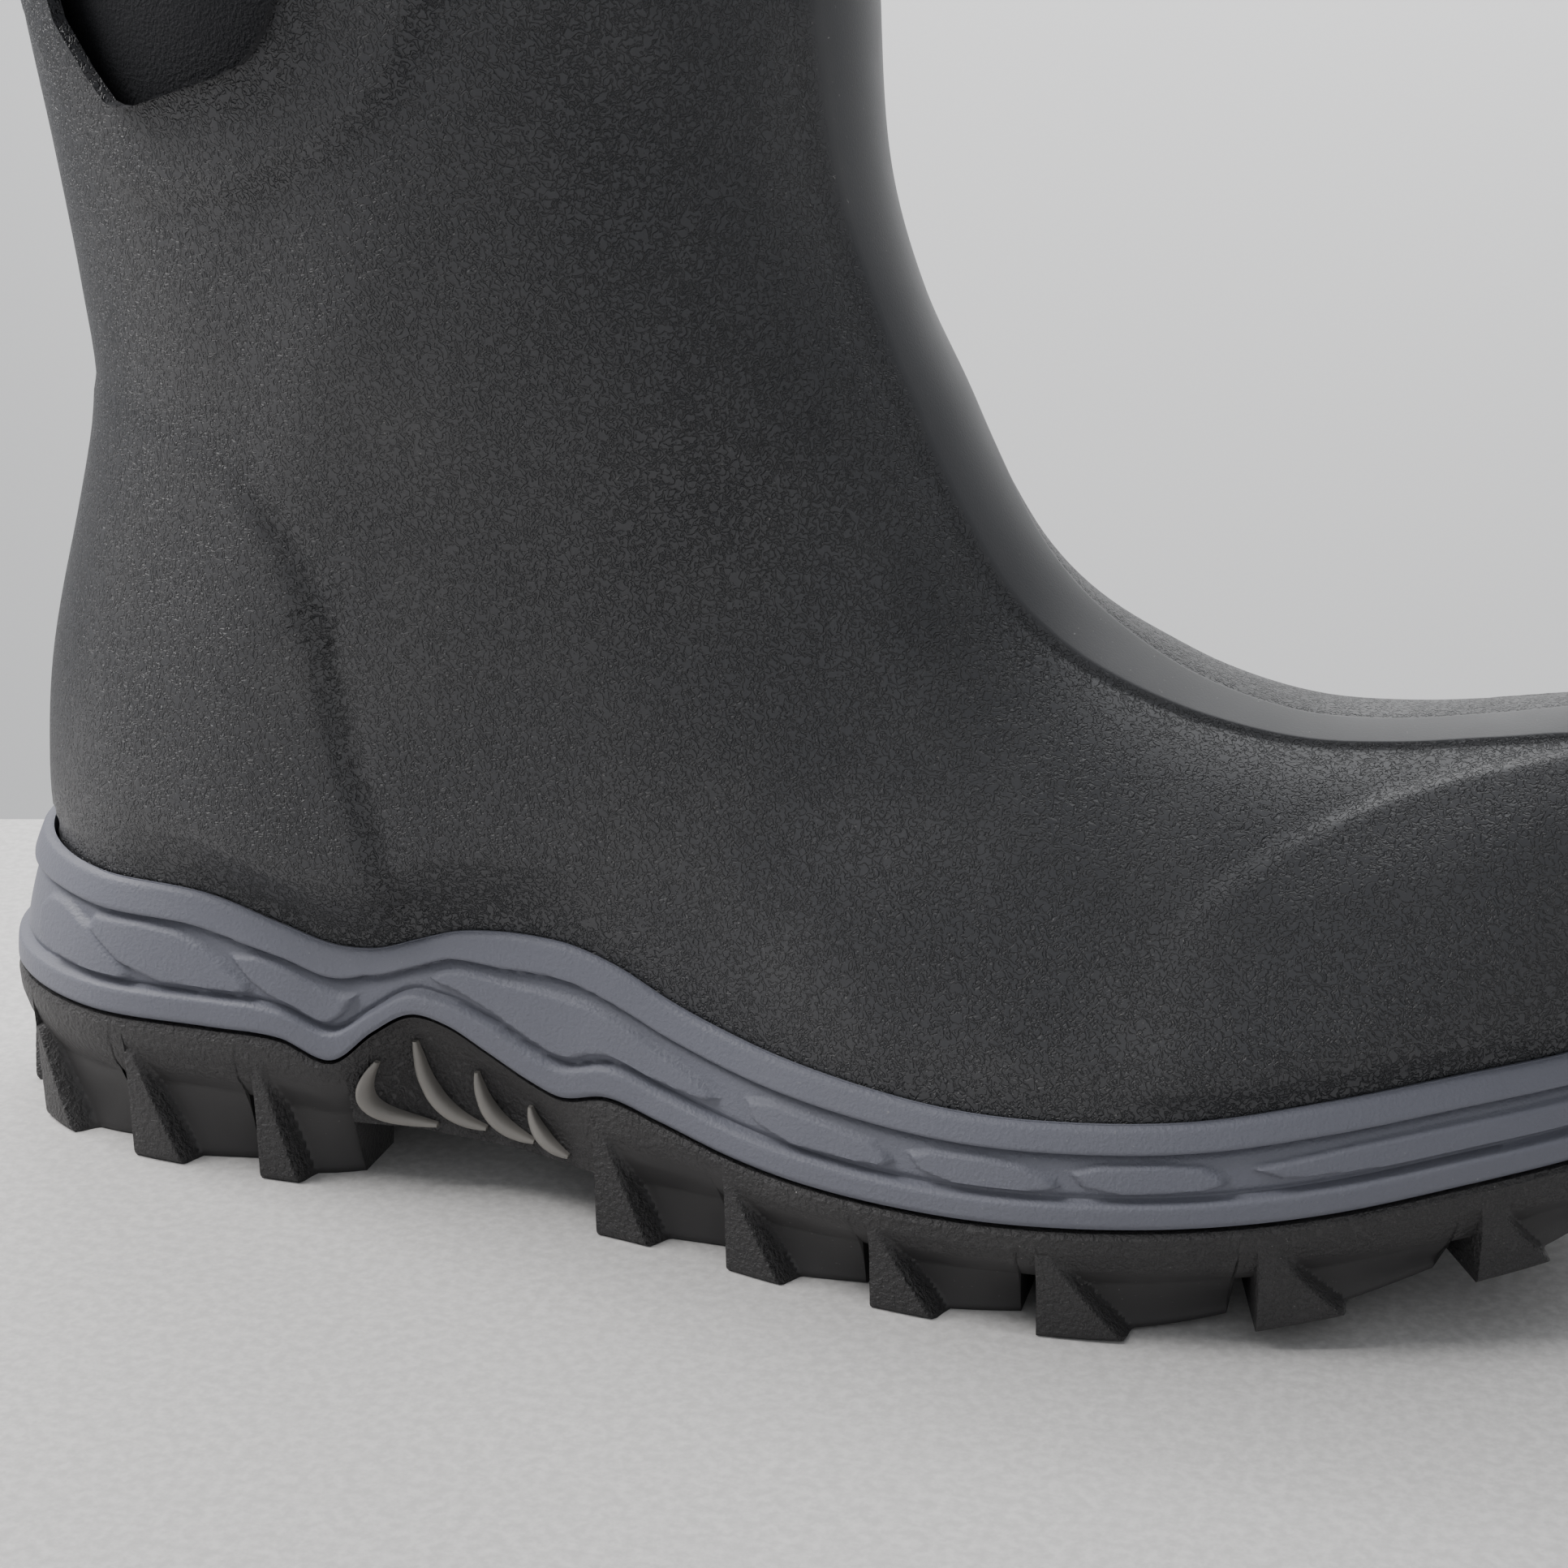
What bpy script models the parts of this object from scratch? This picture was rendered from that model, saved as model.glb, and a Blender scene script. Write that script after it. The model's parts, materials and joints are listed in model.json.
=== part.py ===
import math

import bmesh
import bpy
import numpy as np

# Main sizes of the boot in metres
LENGTH = 0.306
FOREFOOT_WIDTH = 0.110
HEEL_STACK = 0.050
BOOT_HEIGHT = 0.286
RUBBER_WALL = 0.0022
NEOPRENE_WALL = 0.0030
INSOLE_THICKNESS = 0.0040
GAP = 0.0003
SEAT_GAP = 0.0007
UPPER_INSET = 0.0052
STEP = 0.0011
BLEND = 0.030
RISE = 0.013
BINDING_DROP = 0.011
BINDING_WALL = 0.0014
LUG_REACH = 0.021
RIB_WIDTH = 0.0027
RIB_PROUD = 0.0022

# Mesh counts
AROUND = 42
OUTLINE_STEPS = 108
ARC_ROWS = 24
RING_ROWS = 14
RAYS = 121
SHELL_TOP_ROW = 10
SLEEVE_LOW_ROW = 4

# Outline of the sole seen from above
OUTLINE_COLUMNS = ("along", "across")
OUTLINE = (
    (0.000, 0.000),
    (0.028, -0.200),
    (0.098, -0.325),
    (0.196, -0.359),
    (0.310, -0.360),
    (0.425, -0.396),
    (0.539, -0.473),
    (0.647, -0.502),
    (0.752, -0.462),
    (0.846, -0.372),
    (0.926, -0.244),
    (0.982, -0.080),
    (1.000, 0.080),
    (0.984, 0.240),
    (0.935, 0.375),
    (0.856, 0.460),
    (0.752, 0.492),
    (0.637, 0.464),
    (0.523, 0.385),
    (0.408, 0.310),
    (0.294, 0.298),
    (0.196, 0.325),
    (0.098, 0.318),
    (0.028, 0.200),
)

# Heights of the sole along the foot as shares of the heel stack
SOLE_COLUMNS = ("along", "band_top", "band_low", "footbed", "plate", "tread")
SOLE = (
    (0.000, 1.040, 0.540, 0.790, 0.300, 0.000),
    (0.098, 1.010, 0.530, 0.790, 0.280, 0.000),
    (0.180, 0.990, 0.544, 0.790, 0.280, 0.000),
    (0.222, 0.920, 0.540, 0.785, 0.262, 0.000),
    (0.255, 0.866, 0.484, 0.780, 0.235, 0.000),
    (0.278, 0.872, 0.600, 0.775, 0.222, 0.000),
    (0.301, 0.920, 0.682, 0.768, 0.215, 0.000),
    (0.322, 0.964, 0.664, 0.755, 0.210, 0.000),
    (0.346, 0.986, 0.592, 0.735, 0.206, 0.000),
    (0.373, 0.990, 0.510, 0.705, 0.202, 0.000),
    (0.388, 0.984, 0.478, 0.690, 0.200, 0.000),
    (0.418, 0.936, 0.508, 0.650, 0.196, 0.000),
    (0.448, 0.856, 0.468, 0.612, 0.192, 0.000),
    (0.490, 0.784, 0.412, 0.560, 0.188, 0.000),
    (0.539, 0.732, 0.378, 0.515, 0.175, 0.000),
    (0.605, 0.690, 0.366, 0.482, 0.165, 0.000),
    (0.670, 0.692, 0.378, 0.484, 0.168, 0.000),
    (0.735, 0.720, 0.406, 0.512, 0.190, 0.024),
    (0.800, 0.792, 0.460, 0.572, 0.250, 0.098),
    (0.866, 0.866, 0.540, 0.650, 0.330, 0.190),
    (0.915, 0.904, 0.590, 0.700, 0.392, 0.252),
    (1.000, 0.980, 0.660, 0.776, 0.480, 0.370),
)

# Side of the midsole band from its low edge to its top edge
BAND_COLUMNS = ("height", "inset")
BAND = (
    (0.00, 0.10),
    (0.03, 0.00),
    (0.17, 0.00),
    (0.22, 0.30),
    (0.30, 0.34),
    (0.64, 0.50),
    (0.72, 0.58),
    (0.78, 0.36),
    (0.92, 0.50),
    (1.00, 0.72),
)

# Side wall of the outsole from the band down to the tread plate
WALL_COLUMNS = ("drop", "inset", "arch_inset")
WALL = (
    (0.00, 0.0006, 0.0010),
    (0.08, 0.0000, 0.0030),
    (0.35, 0.0002, 0.0056),
    (0.65, 0.0012, 0.0066),
    (1.00, 0.0030, 0.0062),
)

# Heel, ankle and shaft: level sections up the leg
SHAFT_COLUMNS = ("height", "back", "front", "half_width", "fullness")
SHAFT = (
    (0.110, 0.030, 0.385, 0.275, 2.10),
    (0.196, 0.035, 0.418, 0.282, 2.15),
    (0.262, 0.042, 0.455, 0.296, 2.15),
    (0.332, 0.055, 0.500, 0.328, 2.10),
    (0.392, 0.069, 0.530, 0.368, 2.10),
    (0.458, 0.082, 0.540, 0.420, 2.05),
    (0.524, 0.080, 0.533, 0.456, 2.05),
    (0.594, 0.072, 0.523, 0.484, 2.00),
    (0.682, 0.060, 0.518, 0.506, 2.00),
    (0.839, 0.045, 0.518, 0.530, 2.00),
    (1.000, 0.034, 0.522, 0.545, 2.00),
)

# Foot: crest height, crest side shift and fullness of the two flanks
FOOT_COLUMNS = ("along", "crest", "shift", "lateral_full", "medial_full")
FOOT = (
    (0.000, 0.300, 0.000, 2.00, 2.00),
    (0.200, 0.400, 0.000, 2.00, 2.00),
    (0.400, 0.395, 0.010, 2.00, 2.10),
    (0.500, 0.382, 0.025, 1.90, 2.10),
    (0.560, 0.396, 0.035, 1.85, 2.15),
    (0.610, 0.368, 0.045, 1.80, 2.20),
    (0.660, 0.342, 0.052, 1.80, 2.25),
    (0.705, 0.318, 0.058, 1.85, 2.25),
    (0.755, 0.303, 0.065, 1.95, 2.30),
    (0.805, 0.302, 0.070, 2.10, 2.35),
    (0.855, 0.308, 0.075, 2.30, 2.40),
    (0.905, 0.314, 0.080, 2.50, 2.50),
    (0.940, 0.306, 0.080, 2.60, 2.60),
    (0.970, 0.280, 0.080, 2.60, 2.60),
    (0.988, 0.245, 0.080, 2.60, 2.60),
    (0.997, 0.205, 0.080, 2.60, 2.60),
    (1.000, 0.180, 0.080, 2.60, 2.60),
)

# Fans of sections that stand on the footbed: foot of the section, then its crest point
FAN_COLUMNS = ("foot_along", "crest_along", "crest_height")
FAN = (
    (0.820, 0.982, 0.136),
    (0.805, 0.983, 0.200),
    (0.785, 0.966, 0.270),
    (0.755, 0.930, 0.308),
    (0.712, 0.868, 0.310),
    (0.655, 0.790, 0.303),
    (0.580, 0.712, 0.311),
    (0.495, 0.652, 0.338),
    (0.400, 0.602, 0.385),
    (0.300, 0.572, 0.435),
    (0.215, 0.557, 0.472),
    (0.150, 0.548, 0.500),
    (0.103, 0.542, 0.522),
    (0.070, 0.538, 0.538),
    (0.047, 0.535, 0.550),
    (0.034, 0.533, 0.559),
    (0.0296, 0.532, 0.566),
)

# Closed rings above the heel: height at the back and at the front
RING_COLUMNS = ("back_height", "front_height")
RINGS = (
    (0.138, 0.566),
    (0.260, 0.606),
    (0.400, 0.656),
    (0.530, 0.722),
    (0.660, 0.792),
    (0.780, 0.856),
    (0.890, 0.914),
    (0.992, 0.992),
)

# Half width of the smooth strip down the front, by height
STRIP_COLUMNS = ("height", "half_width")
STRIP = (
    (0.000, 0.0045),
    (0.300, 0.0050),
    (0.340, 0.0075),
    (0.450, 0.0120),
    (0.560, 0.0155),
    (0.690, 0.0200),
    (1.000, 0.0240),
)

# Edge of the toe overlay and of the heel counter: height against length
TOE_EDGE_COLUMNS = ("height", "along")
TOE_EDGE = (
    (0.000, 0.707),
    (0.175, 0.711),
    (0.210, 0.715),
    (0.235, 0.730),
    (0.260, 0.765),
    (0.280, 0.808),
    (0.294, 0.850),
    (0.304, 0.895),
    (0.315, 0.940),
)
COUNTER_COLUMNS = ("height", "along")
COUNTER = (
    (0.000, 0.310),
    (0.165, 0.297),
    (0.235, 0.281),
    (0.290, 0.268),
    (0.360, 0.258),
    (0.392, 0.248),
    (0.413, 0.235),
    (0.430, 0.222),
    (0.444, 0.199),
    (0.456, 0.150),
    (0.465, 0.080),
)

# Side windows in the rubber shaft and the raised surround around them
WINDOW_COLUMNS = ("along", "height")
WINDOW = (
    (0.060, 1.100),
    (0.138, 0.690),
    (0.176, 0.637),
    (0.188, 0.633),
    (0.200, 0.636),
    (0.258, 0.655),
    (0.272, 0.668),
    (0.284, 0.692),
    (0.330, 0.860),
    (0.345, 1.100),
)
SURROUND = (
    (-0.040, 1.100),
    (0.060, 0.760),
    (0.120, 0.640),
    (0.155, 0.598),
    (0.180, 0.583),
    (0.222, 0.587),
    (0.265, 0.599),
    (0.300, 0.617),
    (0.330, 0.642),
    (0.345, 0.672),
    (0.360, 0.715),
    (0.400, 0.880),
    (0.420, 1.100),
)

# Lugs round the edge as shares of each half outline, with the height of the fin
LUG_COLUMNS = ("start", "end", "fin")
LUGS = (
    (0.006, 0.076, 0.36),
    (0.086, 0.152, 0.36),
    (0.161, 0.224, 0.41),
    (0.232, 0.279, 0.47),
    (0.409, 0.471, 0.41),
    (0.479, 0.544, 0.32),
    (0.552, 0.620, 0.28),
    (0.629, 0.714, 0.28),
    (0.724, 0.809, 0.35),
    (0.819, 0.898, 0.475),
    (0.908, 0.990, 0.56),
)

# Lugs down the middle: place, half length and half width
MIDDLE_COLUMNS = ("along", "across", "half_length", "half_width")
MIDDLE_LUGS = (
    (0.120, 0.000, 0.018, 0.080),
    (0.205, 0.000, 0.018, 0.090),
    (0.455, 0.010, 0.018, 0.110),
    (0.530, 0.010, 0.018, 0.150),
    (0.605, 0.010, 0.020, 0.190),
    (0.685, 0.020, 0.022, 0.190),
    (0.770, 0.035, 0.022, 0.160),
    (0.850, 0.055, 0.022, 0.110),
)

# Pale ribs in the arch: top, bend and tail of each
RIB_COLUMNS = ("top_along", "top_height", "bend_along", "bend_height", "tail_along", "tail_height")
RIBS = (
    (0.277, 0.475, 0.272, 0.305, 0.308, 0.245),
    (0.299, 0.560, 0.308, 0.350, 0.338, 0.262),
    (0.334, 0.470, 0.343, 0.315, 0.368, 0.252),
    (0.367, 0.385, 0.374, 0.290, 0.391, 0.240),
)

# Colour, roughness and metallic of each material
MATERIALS = {
    "black_rubber": ((0.045, 0.046, 0.050), 0.55, 0.0),
    "tread_rubber": ((0.035, 0.034, 0.035), 0.70, 0.0),
    "grey_midsole": ((0.165, 0.170, 0.200), 0.65, 0.0),
    "pale_rib": ((0.190, 0.180, 0.170), 0.50, 0.0),
    "dark_neoprene": ((0.012, 0.014, 0.020), 0.90, 0.0),
    "binding_fabric": ((0.020, 0.021, 0.024), 0.80, 0.0),
    "insole_foam": ((0.060, 0.062, 0.066), 0.90, 0.0),
}


def column(rows, names, name):
    place = names.index(name)
    return np.array([row[place] for row in rows])


def smooth(wanted, known, values):
    wanted = np.clip(wanted, known[0], known[-1])
    slopes = np.gradient(values, known)
    low = np.clip(np.searchsorted(known, wanted) - 1, 0, len(known) - 2)
    width = known[low + 1] - known[low]
    t = (wanted - known[low]) / width
    first = (1 + 2 * t) * (1 - t) ** 2 * values[low] + t * (1 - t) ** 2 * width * slopes[low]
    second = t * t * (3 - 2 * t) * values[low + 1] + t * t * (t - 1) * width * slopes[low + 1]
    return first + second


def table(rows, names, key, name, wanted):
    return smooth(wanted, column(rows, names, key), column(rows, names, name))


def ease(value):
    value = np.clip(value, 0.0, 1.0)
    return value * value * (3 - 2 * value)


# Outline of the sole as a closed curve, and its inward offsets
def closed_curve(points, per_piece):
    count = len(points)
    out = []
    for i in range(count):
        a, b, c, d = (points[(i + k) % count] for k in (-1, 0, 1, 2))
        for step in range(per_piece):
            t = step / per_piece
            value = 2 * b + (c - a) * t
            value = value + (2 * a - 5 * b + 4 * c - d) * t * t
            value = value + (3 * b - a - 3 * c + d) * t ** 3
            out.append(value / 2)
    return np.array(out)


def even_curve(points, count):
    ring = np.vstack([points, points[:1]])
    run = np.concatenate([[0.0], np.cumsum(np.linalg.norm(np.diff(ring, axis=0), axis=1))])
    wanted = np.linspace(0.0, run[-1], count, endpoint=False)
    return np.column_stack([np.interp(wanted, run, ring[:, k]) for k in range(2)])


def inward(points):
    along = np.roll(points, -1, axis=0) - np.roll(points, 1, axis=0)
    along = along / np.linalg.norm(along, axis=1)[:, None]
    return np.column_stack([-along[:, 1], along[:, 0]])


OUTLINE_POINTS = np.array(OUTLINE) * np.array([LENGTH, FOREFOOT_WIDTH])
DENSE = even_curve(closed_curve(OUTLINE_POINTS, 24), 4 * OUTLINE_STEPS)
DENSE_IN = inward(DENSE)


def sole_height(name, x):
    return HEEL_STACK * np.maximum(table(SOLE, SOLE_COLUMNS, "along", name, x / LENGTH), 0.0)


def upper_inset(x):
    return UPPER_INSET * (1.0 + 0.75 * np.exp(-((x / LENGTH) / 0.075) ** 2))


def offset_outline(points, normals, distance):
    return points + normals * np.reshape(distance, (-1, 1))


FEATHER = offset_outline(DENSE, DENSE_IN, upper_inset(DENSE[:, 0]))
FEATHER_IN = inward(FEATHER)


def nearest_feather(where):
    apart = where[:, None, :] - FEATHER[None, :, :]
    return np.argmin(np.einsum("ijk,ijk->ij", apart, apart), axis=1)


def feather_distance(x, y):
    where = np.column_stack([x, y])
    near = nearest_feather(where)
    away = -np.einsum("ij,ij->i", where - FEATHER[near], FEATHER_IN[near])
    return away


def side_of(curve, x):
    tip = int(np.argmax(curve[:, 0]))
    low = curve[: tip + 1]
    high = np.vstack([curve[tip:], curve[:1]])[::-1]
    return np.interp(x, low[:, 0], low[:, 1]), np.interp(x, high[:, 0], high[:, 1])


# Outside of the upper: foot and leg blended into one form
def foot_field(x, y, z):
    share = x / LENGTH
    low, high = side_of(FEATHER, x)
    base = sole_height("band_top", x)
    crest = BOOT_HEIGHT * table(FOOT, FOOT_COLUMNS, "along", "crest", share)
    shift = FOREFOOT_WIDTH * table(FOOT, FOOT_COLUMNS, "along", "shift", share)
    shift = np.clip(shift, low + 0.002, high - 0.002)
    rise = np.clip(z - base, 0.0, None) / np.maximum(crest - base, 0.002)
    half = np.where(y < shift, shift - low, high - shift)
    full_low = table(FOOT, FOOT_COLUMNS, "along", "lateral_full", share)
    full_high = table(FOOT, FOOT_COLUMNS, "along", "medial_full", share)
    power = np.where(y < shift, full_low, full_high)
    half = np.maximum(half, 0.0005)
    total = (np.abs(y - shift) / half) ** power + rise ** power
    total = total + (np.clip(0.24 - share, 0.0, None) / 0.16) ** 2
    tip = FEATHER[:, 0].max()
    total = total + np.clip(x - tip, 0.0, None) / 0.002
    return (total ** (1.0 / power) - 1.0) * 0.28 * FOREFOOT_WIDTH


def leg_field(x, y, z):
    share = z / BOOT_HEIGHT
    back = LENGTH * table(SHAFT, SHAFT_COLUMNS, "height", "back", share)
    front = LENGTH * table(SHAFT, SHAFT_COLUMNS, "height", "front", share)
    half = FOREFOOT_WIDTH * table(SHAFT, SHAFT_COLUMNS, "height", "half_width", share)
    power = table(SHAFT, SHAFT_COLUMNS, "height", "fullness", share)
    total = (np.abs(2 * x - back - front) / (front - back)) ** power + (np.abs(y) / half) ** power
    return (total ** (1.0 / power) - 1.0) * half


def boot_field(x, y, z):
    foot = foot_field(x, y, z)
    leg = leg_field(x, y, z)
    mix = np.clip(0.5 + 0.5 * (foot - leg) / BLEND, 0.0, 1.0)
    joined = foot * (1 - mix) + leg * mix - BLEND * mix * (1 - mix)
    climb = ease((z - sole_height("band_top", x) - 0.0015) / RISE)
    return feather_distance(x, y) * (1 - climb) + joined * climb


def crossing(origin, rays):
    near = np.zeros(len(rays))
    far = np.full(len(rays), 0.20)
    for _ in range(26):
        middle = (near + far) / 2
        where = origin + rays * middle[:, None]
        inside = boot_field(where[:, 0], where[:, 1], where[:, 2]) < 0
        near = np.where(inside, middle, near)
        far = np.where(inside, far, middle)
    return origin + rays * near[:, None]


def strip_half(z):
    heights = column(STRIP, STRIP_COLUMNS, "height")
    return np.interp(z / BOOT_HEIGHT, heights, column(STRIP, STRIP_COLUMNS, "half_width"))


# Points across a section: edge, even spread, then the strip either side of the crest
def spread(section):
    middle = len(section) // 2
    halves = []
    for part in (section[: middle + 1][::-1], section[middle:]):
        run = np.concatenate([[0.0], np.cumsum(np.linalg.norm(np.diff(part, axis=0), axis=1))])
        strip = min(strip_half(part[0, 2]), 0.2 * run[-1])
        edge = min(strip + 0.0022, 0.3 * run[-1])
        clear = np.nonzero(part[:, 2] > sole_height("band_top", part[:, 0]) + 0.001)[0]
        tuck = run[clear[-1]] if len(clear) and clear[-1] < len(part) - 1 else 0.9 * run[-1]
        closed = len(clear) == len(part)
        tuck = run[-1] * (1 - 1 / (AROUND // 2 - 1)) if closed else max(tuck, edge * 1.2)
        rest = np.linspace(edge, tuck, AROUND // 2 - 2)
        wanted = np.concatenate([[0.0, strip], rest, run[-1:]])
        halves.append(np.column_stack([np.interp(wanted, run, part[:, k]) for k in range(3)]))
    return np.vstack([halves[0][::-1], halves[1][1:]])


def fan_section(foot_x, crest_x, crest_z):
    foot_z = sole_height("footbed", foot_x) + SEAT_GAP
    low, high = side_of(FEATHER, np.array([foot_x]))
    low, high = float(low[0]), float(high[0])
    centre_y = (low + high) / 2
    along = np.array([crest_x - foot_x, 0.0, crest_z - foot_z])
    reach = np.linalg.norm(along)
    along = along / reach
    closeness = ease((0.33 - foot_x / LENGTH) / 0.30)
    lift = reach * (0.02 + 0.43 * closeness)
    origin = np.array([foot_x, centre_y, foot_z]) + along * lift
    limit = math.pi - math.atan2(max((high - low) / 2, 1e-6), lift)
    angles = np.linspace(-limit, limit, RAYS)
    rays = np.cos(angles)[:, None] * along + np.sin(angles)[:, None] * np.array([0.0, 1.0, 0.0])
    section = crossing(origin, rays)
    section[0] = (foot_x, low, foot_z)
    section[-1] = (foot_x, high, foot_z)
    return spread(section)


def toe_feather(foot_x):
    keep = FEATHER[FEATHER[:, 0] > foot_x]
    low, high = side_of(FEATHER, np.array([foot_x]))
    ends = np.array([[foot_x, low[0]], [foot_x, high[0]]])
    flat = np.vstack([ends[:1], keep, ends[1:]])
    tip = int(np.argmax(flat[:, 0]))
    out = []
    for part in (flat[: tip + 1], flat[tip:]):
        wanted = np.linspace(0.0, len(part) - 1.0, RAYS // 2 + 1)
        out.append(np.column_stack([np.interp(wanted, np.arange(len(part)), part[:, k]) for k in range(2)]))
    flat = np.vstack([out[0], out[1][1:]])
    height = sole_height("footbed", flat[:, 0]) + SEAT_GAP
    return spread(np.column_stack([flat, height]))


def ring_section(back_z, front_z):
    back = LENGTH * table(SHAFT, SHAFT_COLUMNS, "height", "back", back_z / BOOT_HEIGHT)
    front = LENGTH * table(SHAFT, SHAFT_COLUMNS, "height", "front", front_z / BOOT_HEIGHT)
    along = np.array([front - back, 0.0, front_z - back_z])
    origin = np.array([back, 0.0, back_z]) + along * 0.5
    along = along / np.linalg.norm(along)
    angles = np.linspace(-math.pi, math.pi, RAYS)
    rays = np.cos(angles)[:, None] * along + np.sin(angles)[:, None] * np.array([0.0, 1.0, 0.0])
    return spread(crossing(origin, rays))


def upper_rows():
    rows = []
    spots = np.linspace(0.0, len(FAN) - 1.0, ARC_ROWS)
    index = np.arange(float(len(FAN)))
    fan = [smooth(spots, index, column(FAN, FAN_COLUMNS, name)) for name in FAN_COLUMNS]
    rows.append(toe_feather(LENGTH * fan[0][0]))
    for foot, crest, height in list(zip(*fan))[1:]:
        rows.append(fan_section(LENGTH * foot, LENGTH * crest, BOOT_HEIGHT * height))
    spots = np.linspace(0.0, len(RINGS) - 1.0, RING_ROWS)[1:]
    index = np.arange(float(len(RINGS)))
    for spot in spots:
        back = smooth(np.array([spot]), index, column(RINGS, RING_COLUMNS, "back_height"))[0]
        front = smooth(np.array([spot]), index, column(RINGS, RING_COLUMNS, "front_height"))[0]
        rows.append(ring_section(BOOT_HEIGHT * back, BOOT_HEIGHT * front))
    rows[ARC_ROWS - 1][-1] = rows[ARC_ROWS - 1][0]
    return np.array(rows)


def row_normals(rows):
    across = np.empty_like(rows)
    across[:, 1:-1] = rows[:, 2:] - rows[:, :-2]
    across[:, 0] = rows[:, 1] - rows[:, 0]
    across[:, -1] = rows[:, -1] - rows[:, -2]
    closed = ARC_ROWS
    across[closed:, 0] = rows[closed:, 1] - rows[closed:, -2]
    across[closed:, -1] = across[closed:, 0]
    along = np.gradient(rows, axis=0)
    normals = np.cross(across, along)
    normals = normals / np.maximum(np.linalg.norm(normals, axis=2), 1e-9)[:, :, None]
    return normals


# Steps in the wall of the upper
def polygon_share(x, z, corners, softness):
    points = np.array(corners) * np.array([LENGTH, BOOT_HEIGHT])
    inside = np.zeros(x.shape, dtype=bool)
    nearest = np.full(x.shape, 1.0)
    for a, b in zip(points, np.roll(points, -1, axis=0)):
        crosses = ((a[1] > z) != (b[1] > z))
        slope = (b[0] - a[0]) * (z - a[1]) / (b[1] - a[1] + 1e-12) + a[0]
        inside ^= crosses & (x < slope)
        span = b - a
        t = np.clip(((x - a[0]) * span[0] + (z - a[1]) * span[1]) / (span @ span), 0.0, 1.0)
        nearest = np.minimum(nearest, np.hypot(x - a[0] - t * span[0], z - a[1] - t * span[1]))
    signed = np.where(inside, nearest, -nearest)
    return ease(0.5 + signed / softness)


def edge_share(x, z, rows, names, softness):
    edge = LENGTH * np.interp(z / BOOT_HEIGHT, column(rows, names, "height"), column(rows, names, "along"))
    return ease(0.5 + (x - edge) / softness)


def wall_steps(rows):
    x, y, z = rows[:, :, 0], rows[:, :, 1], rows[:, :, 2]
    lift = STEP * polygon_share(x, z, SURROUND, 0.004)
    lift = np.maximum(lift, 0.9 * STEP * edge_share(x, z, TOE_EDGE, TOE_EDGE_COLUMNS, 0.006))
    top = BOOT_HEIGHT * COUNTER[-1][0]
    counter = (1 - edge_share(x, z, COUNTER, COUNTER_COLUMNS, 0.006)) * ease((top - z) / 0.004)
    lift = np.maximum(lift, 0.8 * STEP * counter)
    middle = AROUND // 2
    height = z[:, middle]
    strip = ease((height / BOOT_HEIGHT - 0.29) / 0.03)
    for place in (-1, 0, 1):
        lift[:, middle + place] = np.maximum(lift[:, middle + place], STEP * strip)
    tucked = ease((z - sole_height("band_top", x) - 0.004) / 0.004)
    return lift * tucked


def add_object(name, vertices, faces, material, smooth_angle):
    mesh = bpy.data.meshes.new(name)
    mesh.from_pydata([tuple(map(float, v)) for v in vertices], [], faces)
    mesh.validate()
    item = bpy.data.objects.new(name, mesh)
    bpy.context.scene.collection.objects.link(item)
    work = bmesh.new()
    work.from_mesh(mesh)
    bmesh.ops.remove_doubles(work, verts=work.verts, dist=0.00002)
    bmesh.ops.recalc_face_normals(work, faces=work.faces)
    work.to_mesh(mesh)
    work.free()
    mesh.materials.append(bpy.data.materials[material])
    if smooth_angle:
        mesh.shade_smooth()
        mesh.set_sharp_from_angle(angle=math.radians(smooth_angle))
    return item


def add_materials():
    for name, (colour, roughness, metallic) in MATERIALS.items():
        material = bpy.data.materials.new(name)
        material.use_nodes = True
        shader = material.node_tree.nodes["Principled BSDF"]
        shader.inputs["Base Color"].default_value = (*colour, 1.0)
        shader.inputs["Roughness"].default_value = roughness
        shader.inputs["Metallic"].default_value = metallic


# Two skins of a fan-and-ring grid joined along their open edges
def skin_solid(name, outer, inner, fans, material, smooth_angle):
    count, wide = outer.shape[0], outer.shape[1]
    vertices = np.vstack([outer.reshape(-1, 3), inner.reshape(-1, 3)])
    size = count * wide

    def place(row, spot):
        if row >= fans and spot == wide - 1:
            spot = 0
        return row * wide + spot

    faces = []
    for row in range(count - 1):
        for spot in range(wide - 1):
            a, b = place(row, spot), place(row, spot + 1)
            c, d = place(row + 1, spot + 1), place(row + 1, spot)
            faces.append((a, b, c, d))
            faces.append((size + d, size + c, size + b, size + a))
    edge = [place(0, spot) for spot in range(wide)]
    if fans:
        edge = [place(row, 0) for row in range(fans - 1, 0, -1)] + edge
        edge = edge + [place(row, wide - 1) for row in range(1, fans)]
    for a, b in zip(edge, edge[1:]):
        faces.append((b, a, size + a, size + b))
    for spot in range(wide - 1):
        a, b = place(count - 1, spot), place(count - 1, spot + 1)
        faces.append((a, b, size + b, size + a))
    faces = [tuple(dict.fromkeys(face)) for face in faces]
    faces = [face for face in faces if len(face) > 2]
    return add_object(name, vertices, faces, material, smooth_angle)


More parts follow.
